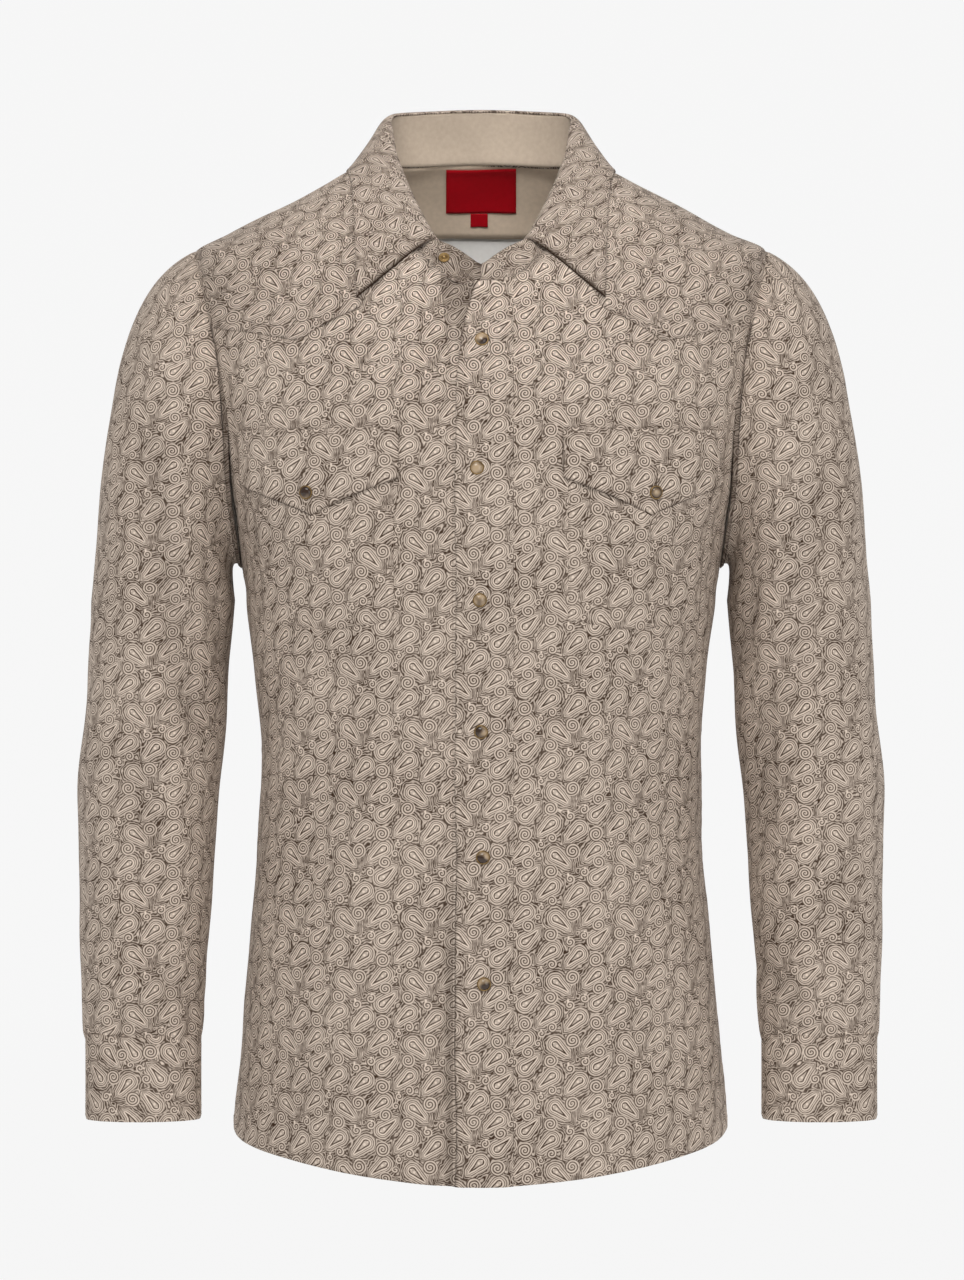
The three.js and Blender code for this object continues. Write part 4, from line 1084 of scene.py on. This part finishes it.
# As the body's folds. Their depths are multiplied by FOLD_GAIN, and each mm of a trough
# darkens the cloth by FOLD_SHADE.
FOLD_GAIN, FOLD_SHADE, SLEEVE_MIDDLE = 1.45, 0.065, -5.0
SLEEVE_FOLDS = {
    "right": [
        (259.6, -121, 238.7, -160, 10, 2.0, -1), (256, -214, 229, -407, 15, -3.2, -1),
        (217, -284, 203, -360, 6, -2.2, -1), (203, -360, 197, -384, 6, -1.6, -1),
        (229, -399, 216, -440, 9, -2.6, -1), (256, -612, 225, -640, 9, -2.4, -1),
        (290, -150, 284, -260, 14, 1.6, -1), (270, -455, 240, -540, 16, -2.2, -1),
        (290, -555, 262, -600, 12, 1.6, -1), (238, -470, 226, -590, 12, 2.0, -1),
        (300, -352, 240, -402, 12, -3.2, 1), (297, -404, 236, -428, 11, -2.8, 1),
        (292, -318, 232, -350, 12, -2.4, 1), (270, -190, 236, -300, 15, -3.2, 1),
        (284, -470, 254, -600, 16, -2.6, 1), (246, -440, 232, -560, 13, 2.2, 1),
    ],
    "left": [
        (214, -296, 203, -384, 7, -2.4, -1), (221, -400, 219, -526, 10, -2.6, -1),
        (223, -617, 248, -644, 9, -2.4, -1), (264, -225, 240, -400, 16, -2.4, -1),
        (256, -120, 240, -165, 10, 1.6, -1), (290, -160, 287, -280, 15, 1.6, -1),
        (292, -512, 262, -584, 14, -2.0, -1), (258, -420, 250, -520, 15, 1.8, -1),
        (300, -362, 238, -398, 12, -3.0, 1), (294, -414, 240, -446, 11, -2.6, 1),
        (290, -300, 234, -344, 13, -2.8, 1), (272, -180, 240, -286, 15, -2.8, 1),
        (280, -486, 250, -610, 16, -2.6, 1), (250, -450, 236, -540, 13, 2.0, 1),
    ],
}


def ring_point(rows, turn):
    """x and y of points on a sleeve's rings. turn is 0 outward, 90 in front, 180 at the body."""
    outer, inner, front, back = rows.T
    c, s = np.cos(np.radians(turn)), np.sin(np.radians(turn))
    return (outer + inner) / 2 + (outer - inner) / 2 * c, (front + back) / 2 + (front - back) / 2 * s


def curve(t, start, leave, arrive, end):
    """Points of a curve from start to end that is drawn towards the two between."""
    return ((1 - t) ** 3 * start + 3 * (1 - t) ** 2 * t * leave + 3 * (1 - t) * t**2 * arrive
            + t**3 * end)


def sleeve_form(turn, share):
    """Points of the plain left sleeve in mm, from the wrist (share 0) to the armhole (1)."""
    z = np.clip(SLEEVE_END + share / ARM_SHARE * (ARM_TOP - SLEEVE_END), SLEEVE_END, ARM_TOP)
    x, y = ring_point(smooth_rows(SLEEVE_RINGS, z), turn)
    arm = np.stack([x, y, z], axis=-1)
    t = np.clip(1 - (share - ARM_SHARE) / (TUCK_SHARE - ARM_SHARE), 0, 1)[:, None] ** 1.2
    c, s = np.cos(np.radians(turn)), np.sin(np.radians(turn))
    start = body_form(90 - ARMHOLE_SPREAD * s, ARMHOLE_MIDDLE + ARMHOLE_HALF * c)
    high = (1 + c) / 2
    leave = start + np.stack([10 + 50 * high, -16 * s, 3 - 30 * high**2], axis=-1)
    top = np.full(len(turn), ARM_TOP)
    end = np.stack([*ring_point(smooth_rows(SLEEVE_RINGS, top), turn), top], axis=-1)
    arrive = end + np.stack([2 - 20 * high, 0 * high, 14 + 164 * high**1.3], axis=-1)
    head = curve(t, start, leave, arrive, end)
    inward = body_form(90 - (ARMHOLE_SPREAD + 1.6) * s,
                       ARMHOLE_MIDDLE + (ARMHOLE_HALF + 5) * c) - start
    past = np.clip((share - TUCK_SHARE) / (1 - TUCK_SHARE), 0, 1)[:, None]
    return np.where(share[:, None] < ARM_SHARE, arm, head + past * inward)


def sleeve_surface(turn, share, side, out=0.0):
    """Points of the creased sleeve in metres, on the wearer's left; the right is its mirror."""
    here = sleeve_form(turn, share)
    round_it = sleeve_form(turn + 0.5, share) - sleeve_form(turn - 0.5, share)
    above = np.minimum(share + 0.002, TUCK_SHARE)
    below = np.minimum(share, TUCK_SHARE - 0.004) - 0.002
    up = sleeve_form(turn, above) - sleeve_form(turn, below)
    normal = np.cross(up, round_it)
    normal /= np.linalg.norm(normal, axis=-1, keepdims=True)
    near_cuff = np.clip((share * (ARM_TOP - SLEEVE_END) / ARM_SHARE) / 60, 0, 1)
    folds = FOLD_GAIN * fold_depth(here, SLEEVE_FOLDS[side], SLEEVE_MIDDLE)
    folds *= np.clip(near_cuff * 2.5, 0, 1)
    gathers = 1.3 * (1 - near_cuff) ** 2 * np.clip(near_cuff * 8, 0, 1) * (
        np.sin(np.radians(turn * 9)) + 0.6 * np.sin(np.radians(turn * 14 + 50)))
    to_seam = (TUCK_SHARE - share) * HEAD_MM
    set_in = puckers(turn * 2.1, to_seam, 0.7, 12) - 1.1 * np.exp(-np.clip(to_seam, 0, 99) / 3)
    total = folds + gathers + set_in + unevenness(here) + out
    return (here + normal * total[:, None]) * MM


def place_sleeve(side, sign):
    """A sleeve, with painted shade beside the armhole seam and in its troughs."""
    def place(u, v):
        turn = 180 + 360 * u
        points = sleeve_surface(turn, v, side)
        points[v > 0.999] -= (0.0018, 0, 0)       # the last row is tucked in behind the seam
        into_seam = np.clip((TUCK_SHARE - v) * HEAD_MM, 0, 99)
        # Painted shade beside the armhole seam, and in the troughs of the folds.
        painted_shade = np.interp(points[:, 2], [-0.15, -0.08], [0.6, 0.2]) * near(into_seam, 3.0)
        creased = fold_depth(sleeve_form(turn, v), SLEEVE_FOLDS[side], SLEEVE_MIDDLE)
        painted_shade += FOLD_SHADE * np.clip(-creased, 0, 4)
        return points * (sign, 1, 1), None, painted_shade
    return place


def sleeve_print(points, columns, rows):
    """Print coordinates by height, and round the sleeve: from the middle of its front on
    the front half, from the middle of its outer side behind, and blended between."""
    grid = points.reshape(rows + 1, columns + 1, 3)
    round_it = lengths(grid[..., :2], 1)
    front, side = columns * 3 // 4, np.sign(grid[..., 0].mean())
    in_front = grid[:, front, :1] - side * (round_it - round_it[:, front][:, None])
    outward = side * (round_it[:, columns // 2][:, None] - round_it)
    outward += (in_front - outward)[:rows // 2].mean()
    share = eased(np.clip((np.linspace(0, 1, columns + 1) - 0.3) / 0.32, 0, 1))
    across = outward + share * (in_front - outward)
    return np.stack([across, 1.03 * grid[..., 2]], -1).reshape(-1, 2)


for side, sign in SIDES:
    sleeve = cut_cloth(f"sleeve_{side}_cloth", 96, 150, place_sleeve(side, sign),
                       (sign * 0.245, 0, -0.4), lay=sleeve_print)
    finish_cloth(sleeve, [PRINT, WRONG_SIDE], f"sleeve_{side}")

# ---------------------------------------------------------------------------
# Cuffs: a straight double band with its grain turned round the wrist, lapped over the
# sleeve's end and closed at the back over its own tucked end. A narrow strip finishes
# the slit above it.
# ---------------------------------------------------------------------------

CUFF_RING = np.array([[306.5, 220.5, -62.0, 4.0]])      # as the sleeve's rings
CUFF_MIDDLE = np.array([CUFF_RING[0, :2].mean(), CUFF_RING[0, 2:].mean()])
CUFF_TOP, CUFF_BOTTOM, CUFF_OUT, CUFF_THICK = -667.0, -733.0, 0.9, 1.5
CUFF_START, CUFF_STOP, CUFF_TUCK = -60.0, 345.0, 1.9    # degrees, degrees and mm
SLIT = {"start": 300.0, "stop": 318.0, "top": -540.0, "bottom": -667.0, "out": 1.05, "thick": 0.8}


def round_cuff(turn):
    """x and y of points on the plain left cuff, and the way outward from each."""
    at = np.stack(ring_point(np.repeat(CUFF_RING, len(turn), axis=0), turn), -1)
    away = at - CUFF_MIDDLE
    return at, away / np.linalg.norm(away, axis=-1, keepdims=True)


def place_cuff(sign):
    """A cuff, whose first end is tucked in under the other."""
    def place(u, v):
        turn = CUFF_START + u * (CUFF_STOP - CUFF_START)
        z = CUFF_BOTTOM + v * (CUFF_TOP - CUFF_BOTTOM)
        off = np.minimum(z - CUFF_BOTTOM, CUFF_TOP - z)
        out = CUFF_OUT - 0.8 * near(off, 1.3) + seam_dip(off - 5, 0.35, 1.2)
        out += puckers(turn * 0.9 + 5 * sign, off - 5, 0.35, 6)
        out += 0.5 * np.sin(np.radians(turn * 3 + 40 * sign))
        tuck = CUFF_TUCK * (1 - eased(np.clip((turn - CUFF_START - 50) / 30, 0, 1)))
        at, away = round_cuff(turn)
        x, y = (at + away * (out - tuck)[:, None]).T
        return np.stack([sign * x, y, z], axis=-1) * MM, None
    return place


def place_slit(side, sign):
    """The strip along the slit, laid on the sleeve."""
    def place(u, v):
        turn = SLIT["start"] + u * (SLIT["stop"] - SLIT["start"])
        z = SLIT["bottom"] + v * (SLIT["top"] - SLIT["bottom"])
        share = (z - SLEEVE_END) / (ARM_TOP - SLEEVE_END) * ARM_SHARE
        points = sleeve_surface(turn, share, side, SLIT["out"] + puckers(z, (u - 0.5) * 20, 0.2, 8))
        return points * (sign, 1, 1), None
    return place


def in_wrist(sign, z):
    """A place inside a cuff or the end of its sleeve."""
    return (sign * CUFF_MIDDLE[0] * MM, CUFF_MIDDLE[1] * MM, z)


for side, sign in SIDES:
    cuff = cut_cloth(f"cuff_{side}_cloth", 130, 22, place_cuff(sign), in_wrist(sign, -0.7),
                     lay=lay_turned)
    finish_cloth(cuff, [PRINT, PRINT], f"cuff_{side}", thickness=CUFF_THICK)
    slit = cut_cloth(f"sleeve_slit_{side}", 10, 40, place_slit(side, sign), in_wrist(sign, -0.6))
    finish_cloth(slit, [PRINT, PRINT], f"sleeve_placket_{side}",
                 thickness=SLIT["thick"])

# ---------------------------------------------------------------------------
# Collar: a stand of two plies, printed outside and plain tan inside, and a stiffened
# leaf with long points that folds over it and lies on the yokes. The stand is left
# open, so that its ends run down to the middle of the front.
# ---------------------------------------------------------------------------

# angle round the neck, and the stand's top edge there
STAND_TOP = np.array([
    (0, 0, -94, -73.5), (1.5, 2.2, -94, -72.5), (7, 11.5, -92, -65.5), (13, 22, -88.5, -58.5),
    (20, 33.7, -84, -53), (30, 44.7, -72, -35.5), (42, 55, -53, -14.5), (52, 61.5, -36, 1),
    (67.2, 67.5, -15, 17.5), (73, 69, -9, 23), (80, 70.4, 0, 31), (90, 71.5, 10, 39),
    (105, 73.3, 28, 50), (120, 68.5, 44, 56), (135, 55, 55.5, 58.5), (150, 38, 62.5, 60),
    (165, 19.5, 66.5, 61.3), (180, 0, 68, 61.8),
])
# angle round the neck, and where the leaf's free edge lies: by x and z from in front,
# then by angle and ring over the shoulder and back
LEAF_SEEN = [(20, 94.4, -102), (30, 95.8, -76), (42, 97, -48), (52, 98, -28), (67.2, 99, -10)]
LEAF_LIES = [(73, 75, 4), (80, 83, 4.5), (90, 92, 4), (105, 112, 3.5), (120, 130, 3), (135, 145, 2),
             (150, 157, 1), (165, 168.5, 0), (180, 180, 0)]
LEAF_LIFT, LEAF_THICK, LEAF_START = 2.3, 1.3, 20.0
TIP_LIFT = {20: 5.5, 30: 4.2, 42: 3.0}    # by angle: the points stand farther off the yokes
LEAF_ROUND, LEAF_DEEP = 520, 60           # mm round the leaf, and from its fold to its edge
STAND_GAP = 0.02          # degrees from the middle of the front to each end of the stand
STAND_OUT, STAND_THICK, LINING_OUT, LINING_THICK = 0.1, 1.1, -1.6, 0.45
IN_NECK, UNDER_LEAF = (0, 0, 0), (0, 0.005, -0.04)
# Painted shade: the same tan cotton as the facing, in a darker copy for the stand's lining.
TAN_STAND_PAINTED_SHADE = cloth_material("tan_stand_painted_shade", (0.340, 0.275, 0.212), (0.520, 0.425, 0.335),
                           0.84, 0.12, printed=False)


def around_the_neck(turn):
    """Splits a turn of 0 to 360 degrees into an angle from the front and a side."""
    return np.where(turn > 180, 360 - turn, turn), np.where(turn > 180, -1.0, 1.0)


def mirror(sign):
    """What points of the left half are multiplied by, to lie on their own half."""
    return np.stack([sign, np.ones_like(sign), np.ones_like(sign)], -1)


def outward_at(turn):
    """The level way out from the neck's middle."""
    return np.stack([np.sin(np.radians(turn)), -np.cos(np.radians(turn)), np.zeros_like(turn)], -1)


def stand_top(turn):
    """Points of the stand's top edge."""
    angle, sign = around_the_neck(turn)
    return smooth_rows(STAND_TOP, angle) * mirror(sign)


def place_stand(out, low, high, foot_in=0.0, shade=(0.0, 0.0)):
    """A ply of the stand. low and high are shares of the way from its foot to its top
    edge, and shade is the painted shade, for the leaf's shadow, on the left and the right end."""
    def place(u, v):
        turn = STAND_GAP + u * (360 - 2 * STAND_GAP)
        angle, sign = around_the_neck(turn)
        foot = body_form(angle, NECK + 1.5) * mirror(sign)
        share = low + v * (high - low)
        up = np.clip(share, 0, 1)
        bulge = out + 1.5 * np.sin(np.pi * up) + 0.25 * np.sin(turn / 7) - foot_in * near(up, 0.14)
        shaded = np.where(sign > 0, *shade) * np.interp(angle, [8, 26], [1, 0.6])
        points = foot + share[:, None] * (stand_top(turn) - foot) + outward_at(turn) * bulge[:, None]
        return points * MM, None, shaded
    return place


# Painted shadow of the leaf on the stand's ends, darker on the wearer's right.
place_outer_stand = place_stand(STAND_OUT, -0.1, 0.97, shade=(0.3, 0.5))
stand = cut_cloth("collar_stand_cloth", 170, 16, place_outer_stand, IN_NECK)
finish_cloth(stand, [PRINT, PRINT], "collar_stand_outer",
             thickness=STAND_THICK)
lining = cut_cloth("collar_stand_lining", 170, 16, place_stand(LINING_OUT, -0.07, 0.98, foot_in=1.1),
                   IN_NECK, lay=lay_turned)
finish_cloth(lining, [TAN_STAND_PAINTED_SHADE, TAN_STAND_PAINTED_SHADE], "collar_stand_inner",
             thickness=LINING_THICK)

LEAF_EDGE = np.array(
    [(angle, *(on_body(*seen(x, z), TIP_LIFT.get(angle, LEAF_LIFT)) / MM))
     for angle, x, z in LEAF_SEEN]
    + [(angle, *(on_body(np.float64(at), np.float64(height), LEAF_LIFT) / MM))
       for angle, at, height in LEAF_LIES])


def lie_clear(points, lift):
    """Moves points over the shoulders and chest out to where they clear the body."""
    reach = np.hypot(points[:, 0], points[:, 1])
    angle = np.degrees(np.arctan2(points[:, 0], -points[:, 1]))
    low, high = np.full(len(points), -140.0), np.full(len(points), BODY_RINGS[-1, 0])
    for _ in range(26):
        mid = (low + high) / 2
        ring = body_form(angle, mid)
        wider = np.hypot(ring[:, 0], ring[:, 1]) > reach
        low, high = np.where(wider, mid, low), np.where(wider, high, mid)
    foot, above = on_body(angle, low) / MM, on_body(angle, low, 1.0) / MM
    normal = above - foot
    gap = (points[:, 2] - foot[:, 2]) * normal[:, 2]
    rim = body_form(angle, np.full(len(points), NECK))
    beyond = np.clip((reach - np.hypot(rim[:, 0], rim[:, 1])) / 3, 0, 1)
    return points + normal * (np.maximum(lift - gap, 0) * beyond)[:, None]


def place_leaf(u, v):
    """The leaf, from inside the stand's top edge over the fold and down to its free edge."""
    turn = LEAF_START + u * (360 - 2 * LEAF_START)
    angle, sign = around_the_neck(turn)
    top, edge, away = stand_top(turn), smooth_rows(LEAF_EDGE, angle) * mirror(sign), outward_at(turn)
    crest, out = top - away * 1.9 - (0, 0, 1.6), top + away * 6.5 + (0, 0, 6.5)
    down = edge * 0.6 + top * 0.4 + away * 3
    fold = curve((v ** 1.1)[:, None], crest, out, down, edge)
    from_end, from_edge = np.minimum(u, 1 - u) * LEAF_ROUND, 1 - v
    off = np.minimum(from_edge * LEAF_DEEP, from_end)
    lift = LEAF_LIFT - 0.9 * near(off, 1.4) + 0.7 * np.sin(turn / 9) * v
    # Painted shade: the whole leaf is darkened a little, as it faces up into the light, and more
    # along its ends and its free edge, standing in for the shadow under them.
    at_ends = 0.85 * near(from_end, 2.0) * np.interp(v, [0.1, 0.45], [0.2, 1])
    leaf_painted_shade = 0.19 + np.maximum(at_ends, 0.22 * near(from_edge * 66, 1.7))
    return lie_clear(fold, lift) * MM, None, leaf_painted_shade


leaf = cut_cloth("collar_leaf_cloth", 190, 52, place_leaf, UNDER_LEAF)
finish_cloth(leaf, [PRINT, PRINT], "collar_leaf", thickness=LEAF_THICK)

# ---------------------------------------------------------------------------
# Snaps: pearl caps, olive to cream, each pressed into a rolled brass rim. Six close the
# front, one each flap and one each cuff. A bare brass stud sits on the collar stand.
# ---------------------------------------------------------------------------

FRONT_SNAPS = [(0.7, -134), (-3, -231), (-0.8, -330.5), (0, -430.5), (1.5, -526), (2.3, -622)]
FLAP_SNAP = (FLAP["snap_x"], -248.5)
CUFF_SNAP_TURN, CUFF_SNAP_OUT = 322.0, 2.6
PRESSED_IN = 0.1          # mm that a cap's foot sinks into the cloth
# radius and height up the section of a snap, from the rim's foot to the middle of the cap
SNAP_SECTION = [(4.9, 0.0), (5.35, 0.25), (5.4, 0.8), (5.2, 1.25), (4.8, 1.45), (4.45, 1.3),
                (4.3, 1.15), (4.2, 1.35), (3.8, 1.9), (3.1, 2.4), (2.1, 2.8), (1.0, 3.0),
                (0.0, 3.05)]
PEARL_RADIUS, PEARL_FOOT = 4.4, 1.1      # the pearl is what lies inside and above these
STUD_SECTION = [(3.9, 0.0), (4.3, 0.3), (4.4, 0.9), (4.1, 1.35), (3.5, 1.5), (3.0, 1.2), (2.8, 0.9),
                (2.2, 0.85), (1.9, 1.2), (1.6, 2.0), (1.2, 2.5), (0.6, 2.75), (0.0, 2.8)]

PEARL, tree, shader = new_material("pearl_cap")
place = tree.nodes.new("ShaderNodeTexCoord").outputs["Object"]
swirl = noise(tree, move(tree, "MULTIPLY", place, (1.0, 1.0, 1.3)), 75, 1)
clouds = ramp(tree, swirl, 0.42, 0.66)
colour = blend(tree, clouds, (0.030, 0.012, 0.004, 1), (0.46, 0.33, 0.20, 1))
join(tree, colour, shader.inputs["Base Color"])
join(tree, calc(tree, "MULTIPLY_ADD", swirl, 0.14, 0.1), shader.inputs["Roughness"])
shader.inputs["Coat Weight"].default_value = 0.25
shader.inputs["Coat Roughness"].default_value = 0.05

BRASS, tree, shader = new_material("rolled_brass")
dull = noise(tree, tree.nodes.new("ShaderNodeTexCoord").outputs["Object"], 420, 3)
colour = blend(tree, dull, (0.13, 0.075, 0.03, 1), (0.34, 0.23, 0.10, 1))
join(tree, colour, shader.inputs["Base Color"])
join(tree, calc(tree, "MULTIPLY_ADD", dull, 0.25, 0.2), shader.inputs["Roughness"])
shader.inputs["Metallic"].default_value = 1.0


def pressed_cap(name, node, section, at, facing, slot="snap"):
    """A round cap spun from its section and set with its axis along `facing`."""
    bm = bmesh.new()
    ring = [bm.verts.new((radius * MM, 0, height * MM)) for radius, height in section]
    edges = [bm.edges.new(pair) for pair in zip(ring, ring[1:])]
    bmesh.ops.spin(bm, geom=ring + edges, cent=(0, 0, 0), axis=(0, 0, 1), angle=math.tau, steps=32,
                   use_merge=True)
    bmesh.ops.remove_doubles(bm, verts=bm.verts[:], dist=1e-6)
    foot = [e for e in bm.edges if e.is_boundary]
    bmesh.ops.contextual_create(bm, geom=foot)
    bmesh.ops.recalc_face_normals(bm, faces=bm.faces[:])
    for face in bm.faces:
        x, y, z = face.calc_center_median() / MM
        inside = math.hypot(x, y) < PEARL_RADIUS and z > PEARL_FOOT
        face.material_index = 1 if slot == "snap" and inside else 0
    turn = Vector((0, 0, 1)).rotation_difference(Vector(facing)).to_matrix().to_4x4()
    bmesh.ops.transform(bm, matrix=turn, verts=bm.verts[:])
    bmesh.ops.translate(bm, vec=Vector(at), verts=bm.verts[:])
    piece = as_piece(name, bm)
    piece.data.materials.append(BRASS)
    piece.data.materials.append(PEARL)
    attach(piece, "root")
    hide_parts(node)


def spot_on_body(x, z, out, sign=1):
    """A place on the cloth as seen from in front, and the way outward there."""
    angle, height = seen(x, z)
    at = on_body(sign * angle, height, out)
    above = on_body(sign * angle, height, out + 1.0)
    return at, above - at


for number, (x, z) in enumerate(FRONT_SNAPS, 1):
    at, facing = spot_on_body(x, z, UPPER_BAND["out"] + UPPER_BAND["thick"] - PRESSED_IN)
    pressed_cap(f"snap_cap_{number}", f"snap_front_{number}", SNAP_SECTION, at, facing)
for side, sign in SIDES:
    out = flap_out(*np.array([*FLAP_SNAP, FLAP["point"]])[:, None], sign)[0]
    at, facing = spot_on_body(*FLAP_SNAP, out + FLAP["thick"] - PRESSED_IN, sign)
    pressed_cap(f"flap_cap_{side}", f"snap_flap_{side}", SNAP_SECTION, at, facing)
    (at,), (away,) = round_cuff(np.array([CUFF_SNAP_TURN]))
    x, y = at + away * CUFF_SNAP_OUT
    at = np.array([sign * x, y, (CUFF_TOP + CUFF_BOTTOM) / 2]) * MM
    facing = (sign * away[0], away[1], 0)
    pressed_cap(f"cuff_cap_{side}", f"snap_cuff_{side}", SNAP_SECTION, at, facing)

STUD_TURN, STUD_SHARE, STUD_OUT = 344.2, 0.47, 1.2
around = (np.array([STUD_TURN, STUD_TURN - 2, STUD_TURN]) - STAND_GAP) / (360 - 2 * STAND_GAP)
up_stand = np.array([STUD_SHARE, STUD_SHARE, STUD_SHARE + 0.1])
spot, beside, above = place_stand(STAND_OUT, 0.0, 1.0)(around, up_stand)[0]
facing = np.cross(above - spot, beside - spot)
facing /= np.linalg.norm(facing) * (1 if facing[1] < 0 else -1)
pressed_cap("collar_stud_cap", "collar_stud", STUD_SECTION, spot + facing * STUD_OUT * MM, facing,
            slot="brass")

# ---------------------------------------------------------------------------
# Topstitching: rows of cotton thread, tone on tone, along the bands, hems, yokes,
# pockets, flaps, cuffs and collar. Each stitch is a short bead of thread that sinks
# into the cloth at both ends.
# ---------------------------------------------------------------------------

STITCH_PITCH, STITCH_LENGTH, THREAD = 2.9, 2.2, 0.42      # mm, the last its breadth

THREAD_COTTON, tree, shader = new_material("cotton_thread")
fibre = noise(tree, tree.nodes.new("ShaderNodeTexCoord").outputs["Object"], 900, 2)
colour = blend(tree, fibre, (0.27, 0.21, 0.165, 1), (0.55, 0.45, 0.37, 1))
join(tree, colour, shader.inputs["Base Color"])
join(tree, calc(tree, "MULTIPLY_ADD", fibre, 0.2, 0.6), shader.inputs["Roughness"])
shader.inputs["Sheen Weight"].default_value = 0.2


def sewn_line(place, corners, thickness, inside):
    """Points and normals on a finished piece, along straight runs in its own u and v."""
    corners = np.array(corners, float)
    runs = [np.linspace(a, b, 160) for a, b in zip(corners, corners[1:])]
    u, v = np.vstack(runs).T
    at = place(u, v)[0]
    step = 0.002
    du = place(np.clip(u + step, 0, 1), v)[0] - place(np.clip(u - step, 0, 1), v)[0]
    dv = place(u, np.clip(v + step, 0, 1))[0] - place(u, np.clip(v - step, 0, 1))[0]
    normal = np.cross(du, dv)
    normal /= np.linalg.norm(normal, axis=1, keepdims=True)
    if np.sum(normal * (at - inside)) < 0:
        normal = -normal
    return at + normal * (thickness + 0.02) * MM, normal


def sew(name, rows):
    """All the stitches of some rows, as one piece of thread."""
    thread = bmesh.new()
    mesh = bpy.data.meshes.new(name)
    for at, normal in rows:
        length = lengths(at) / MM
        starts = np.arange(0.6, length[-1] - STITCH_LENGTH, STITCH_PITCH)
        ends = [[np.stack([np.interp(starts + more, length, column) for column in array.T], 1)
                 for array in (at, normal)] for more in (0, STITCH_LENGTH)]
        row = bmesh.new()
        for (a, up), (b, _) in zip(zip(*ends[0]), zip(*ends[1])):
            run, out = Vector(b - a), Vector(up).normalized()
            reach = run.length / 2 + 0.1 * MM
            run.normalize()
            beside = out.cross(run).normalized()
            bead = Matrix((run * reach, beside * THREAD / 2 * MM, out * THREAD / 2 * MM))
            bead = bead.transposed().to_4x4()
            bead.translation = Vector((a + b) / 2)
            bmesh.ops.create_icosphere(row, subdivisions=1, radius=1.0, matrix=bead)
        row.to_mesh(mesh)
        row.free()
        thread.from_mesh(mesh)
    thread.to_mesh(mesh)
    thread.free()
    mesh.shade_smooth()
    mesh.materials.append(THREAD_COTTON)
    piece = bpy.data.objects.new(name, mesh)
    bpy.context.collection.objects.link(piece)
    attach(piece, "root")


# A row's place is given in shares of its piece's breadth and length. These turn mm into
# shares on the bands, pockets and flaps.
BAND_WIDE, POCKET_WIDE, POCKET_HIGH, FLAP_HIGH = 43.4, 116, 143, 50
CUFF_SEAMS = 5 / 66, 61 / 66
HEM_SEAM = 0.0135

front_rows, back_rows, arm_rows, collar_rows = [], [], [], []
for inset in (UPPER_BAND["free_seam"] / BAND_WIDE, 1 - UPPER_BAND["inner_seam"] / BAND_WIDE):
    front_rows.append(sewn_line(place_upper_band, [(inset, 0.004), (inset, 0.99)],
                                UPPER_BAND["thick"], WORN_MIDDLE))
for side, sign in SIDES:
    front, yoke, pocket, flap = (place_front(side, sign), place_front_yoke(sign),
                                 place_pocket(sign), place_flap(sign))
    hem_start = 0.03 if side == "left" else 0.1
    for line in ([(hem_start, HEM_SEAM), (0.998, HEM_SEAM)], [(0.965, 0.66), (0.965, 0.975)]):
        front_rows.append(sewn_line(front, line, CLOTH_THICK, WORN_MIDDLE))
    for line in ([(0.02, 0.018), (0.99, 0.018)], [(0.02, 0.085), (0.99, 0.085)],
                 [(0.955, 0.02), (0.955, 0.98)]):
        front_rows.append(sewn_line(yoke, line, CLOTH_THICK, UNDER_YOKES))
    for inset in (1.6, 6.5):
        x, z = inset / POCKET_WIDE, inset / POCKET_HIGH
        front_rows.append(sewn_line(pocket, [(x, 0.9), (x, z), (1 - x, z), (1 - x, 0.9)],
                                    POCKET["thick"], WORN_MIDDLE))
    across = np.linspace(0.036, 0.964, 24)
    _, _, low = flap_at(across, np.zeros(24))
    lines = [[(0.01, 1 - down / FLAP_HIGH), (0.99, 1 - down / FLAP_HIGH)] for down in (1.8, 9.2)]
    lines.append([(0.036, 0.95), *zip(across, 4.5 / (FLAP["top"] - low)), (0.964, 0.95)])
    if side == "left":
        lines += [[(slot, 0.99), (slot, 0.72)] for slot in (0.285, 0.325)]
    for line in lines:
        front_rows.append(sewn_line(flap, line, FLAP["thick"], WORN_MIDDLE))
    low, high = CUFF_SEAMS
    for line in ([(0.13, low), (0.985, low)], [(0.13, high), (0.985, high)],
                 [(0.985, low), (0.985, high)]):
        arm_rows.append(sewn_line(place_cuff(sign), line, CUFF_THICK, in_wrist(sign, -0.7)))
    for u in (0.12, 0.88):
        arm_rows.append(sewn_line(place_slit(side, sign), [(u, 0.02), (u, 0.98)], SLIT["thick"],
                                  in_wrist(sign, -0.7)))
for line in ([(0.002, HEM_SEAM), (0.998, HEM_SEAM)], [(0.022, 0.68), (0.022, 0.98)],
             [(0.978, 0.68), (0.978, 0.98)]):
    back_rows.append(sewn_line(place_back, line, CLOTH_THICK, WORN_MIDDLE))
for up in (0.014, 0.062):
    back_rows.append(sewn_line(place_back_yoke, [(0.01, up), (0.99, up)], CLOTH_THICK, UNDER_YOKES))
end, over = 0.0088, 4.6 / LEAF_DEEP
collar_rows.append(sewn_line(
    place_leaf, [(end, 0.12), (end, 1 - over), (1 - end, 1 - over), (1 - end, 0.12)],
    LEAF_THICK, UNDER_LEAF))
collar_rows.append(sewn_line(place_outer_stand, [(0.01, 0.22), (0.99, 0.22)], STAND_THICK, IN_NECK))
sew("front_topstitching", front_rows)
sew("back_topstitching", back_rows)
sew("sleeve_topstitching", arm_rows)
sew("collar_topstitching", collar_rows)
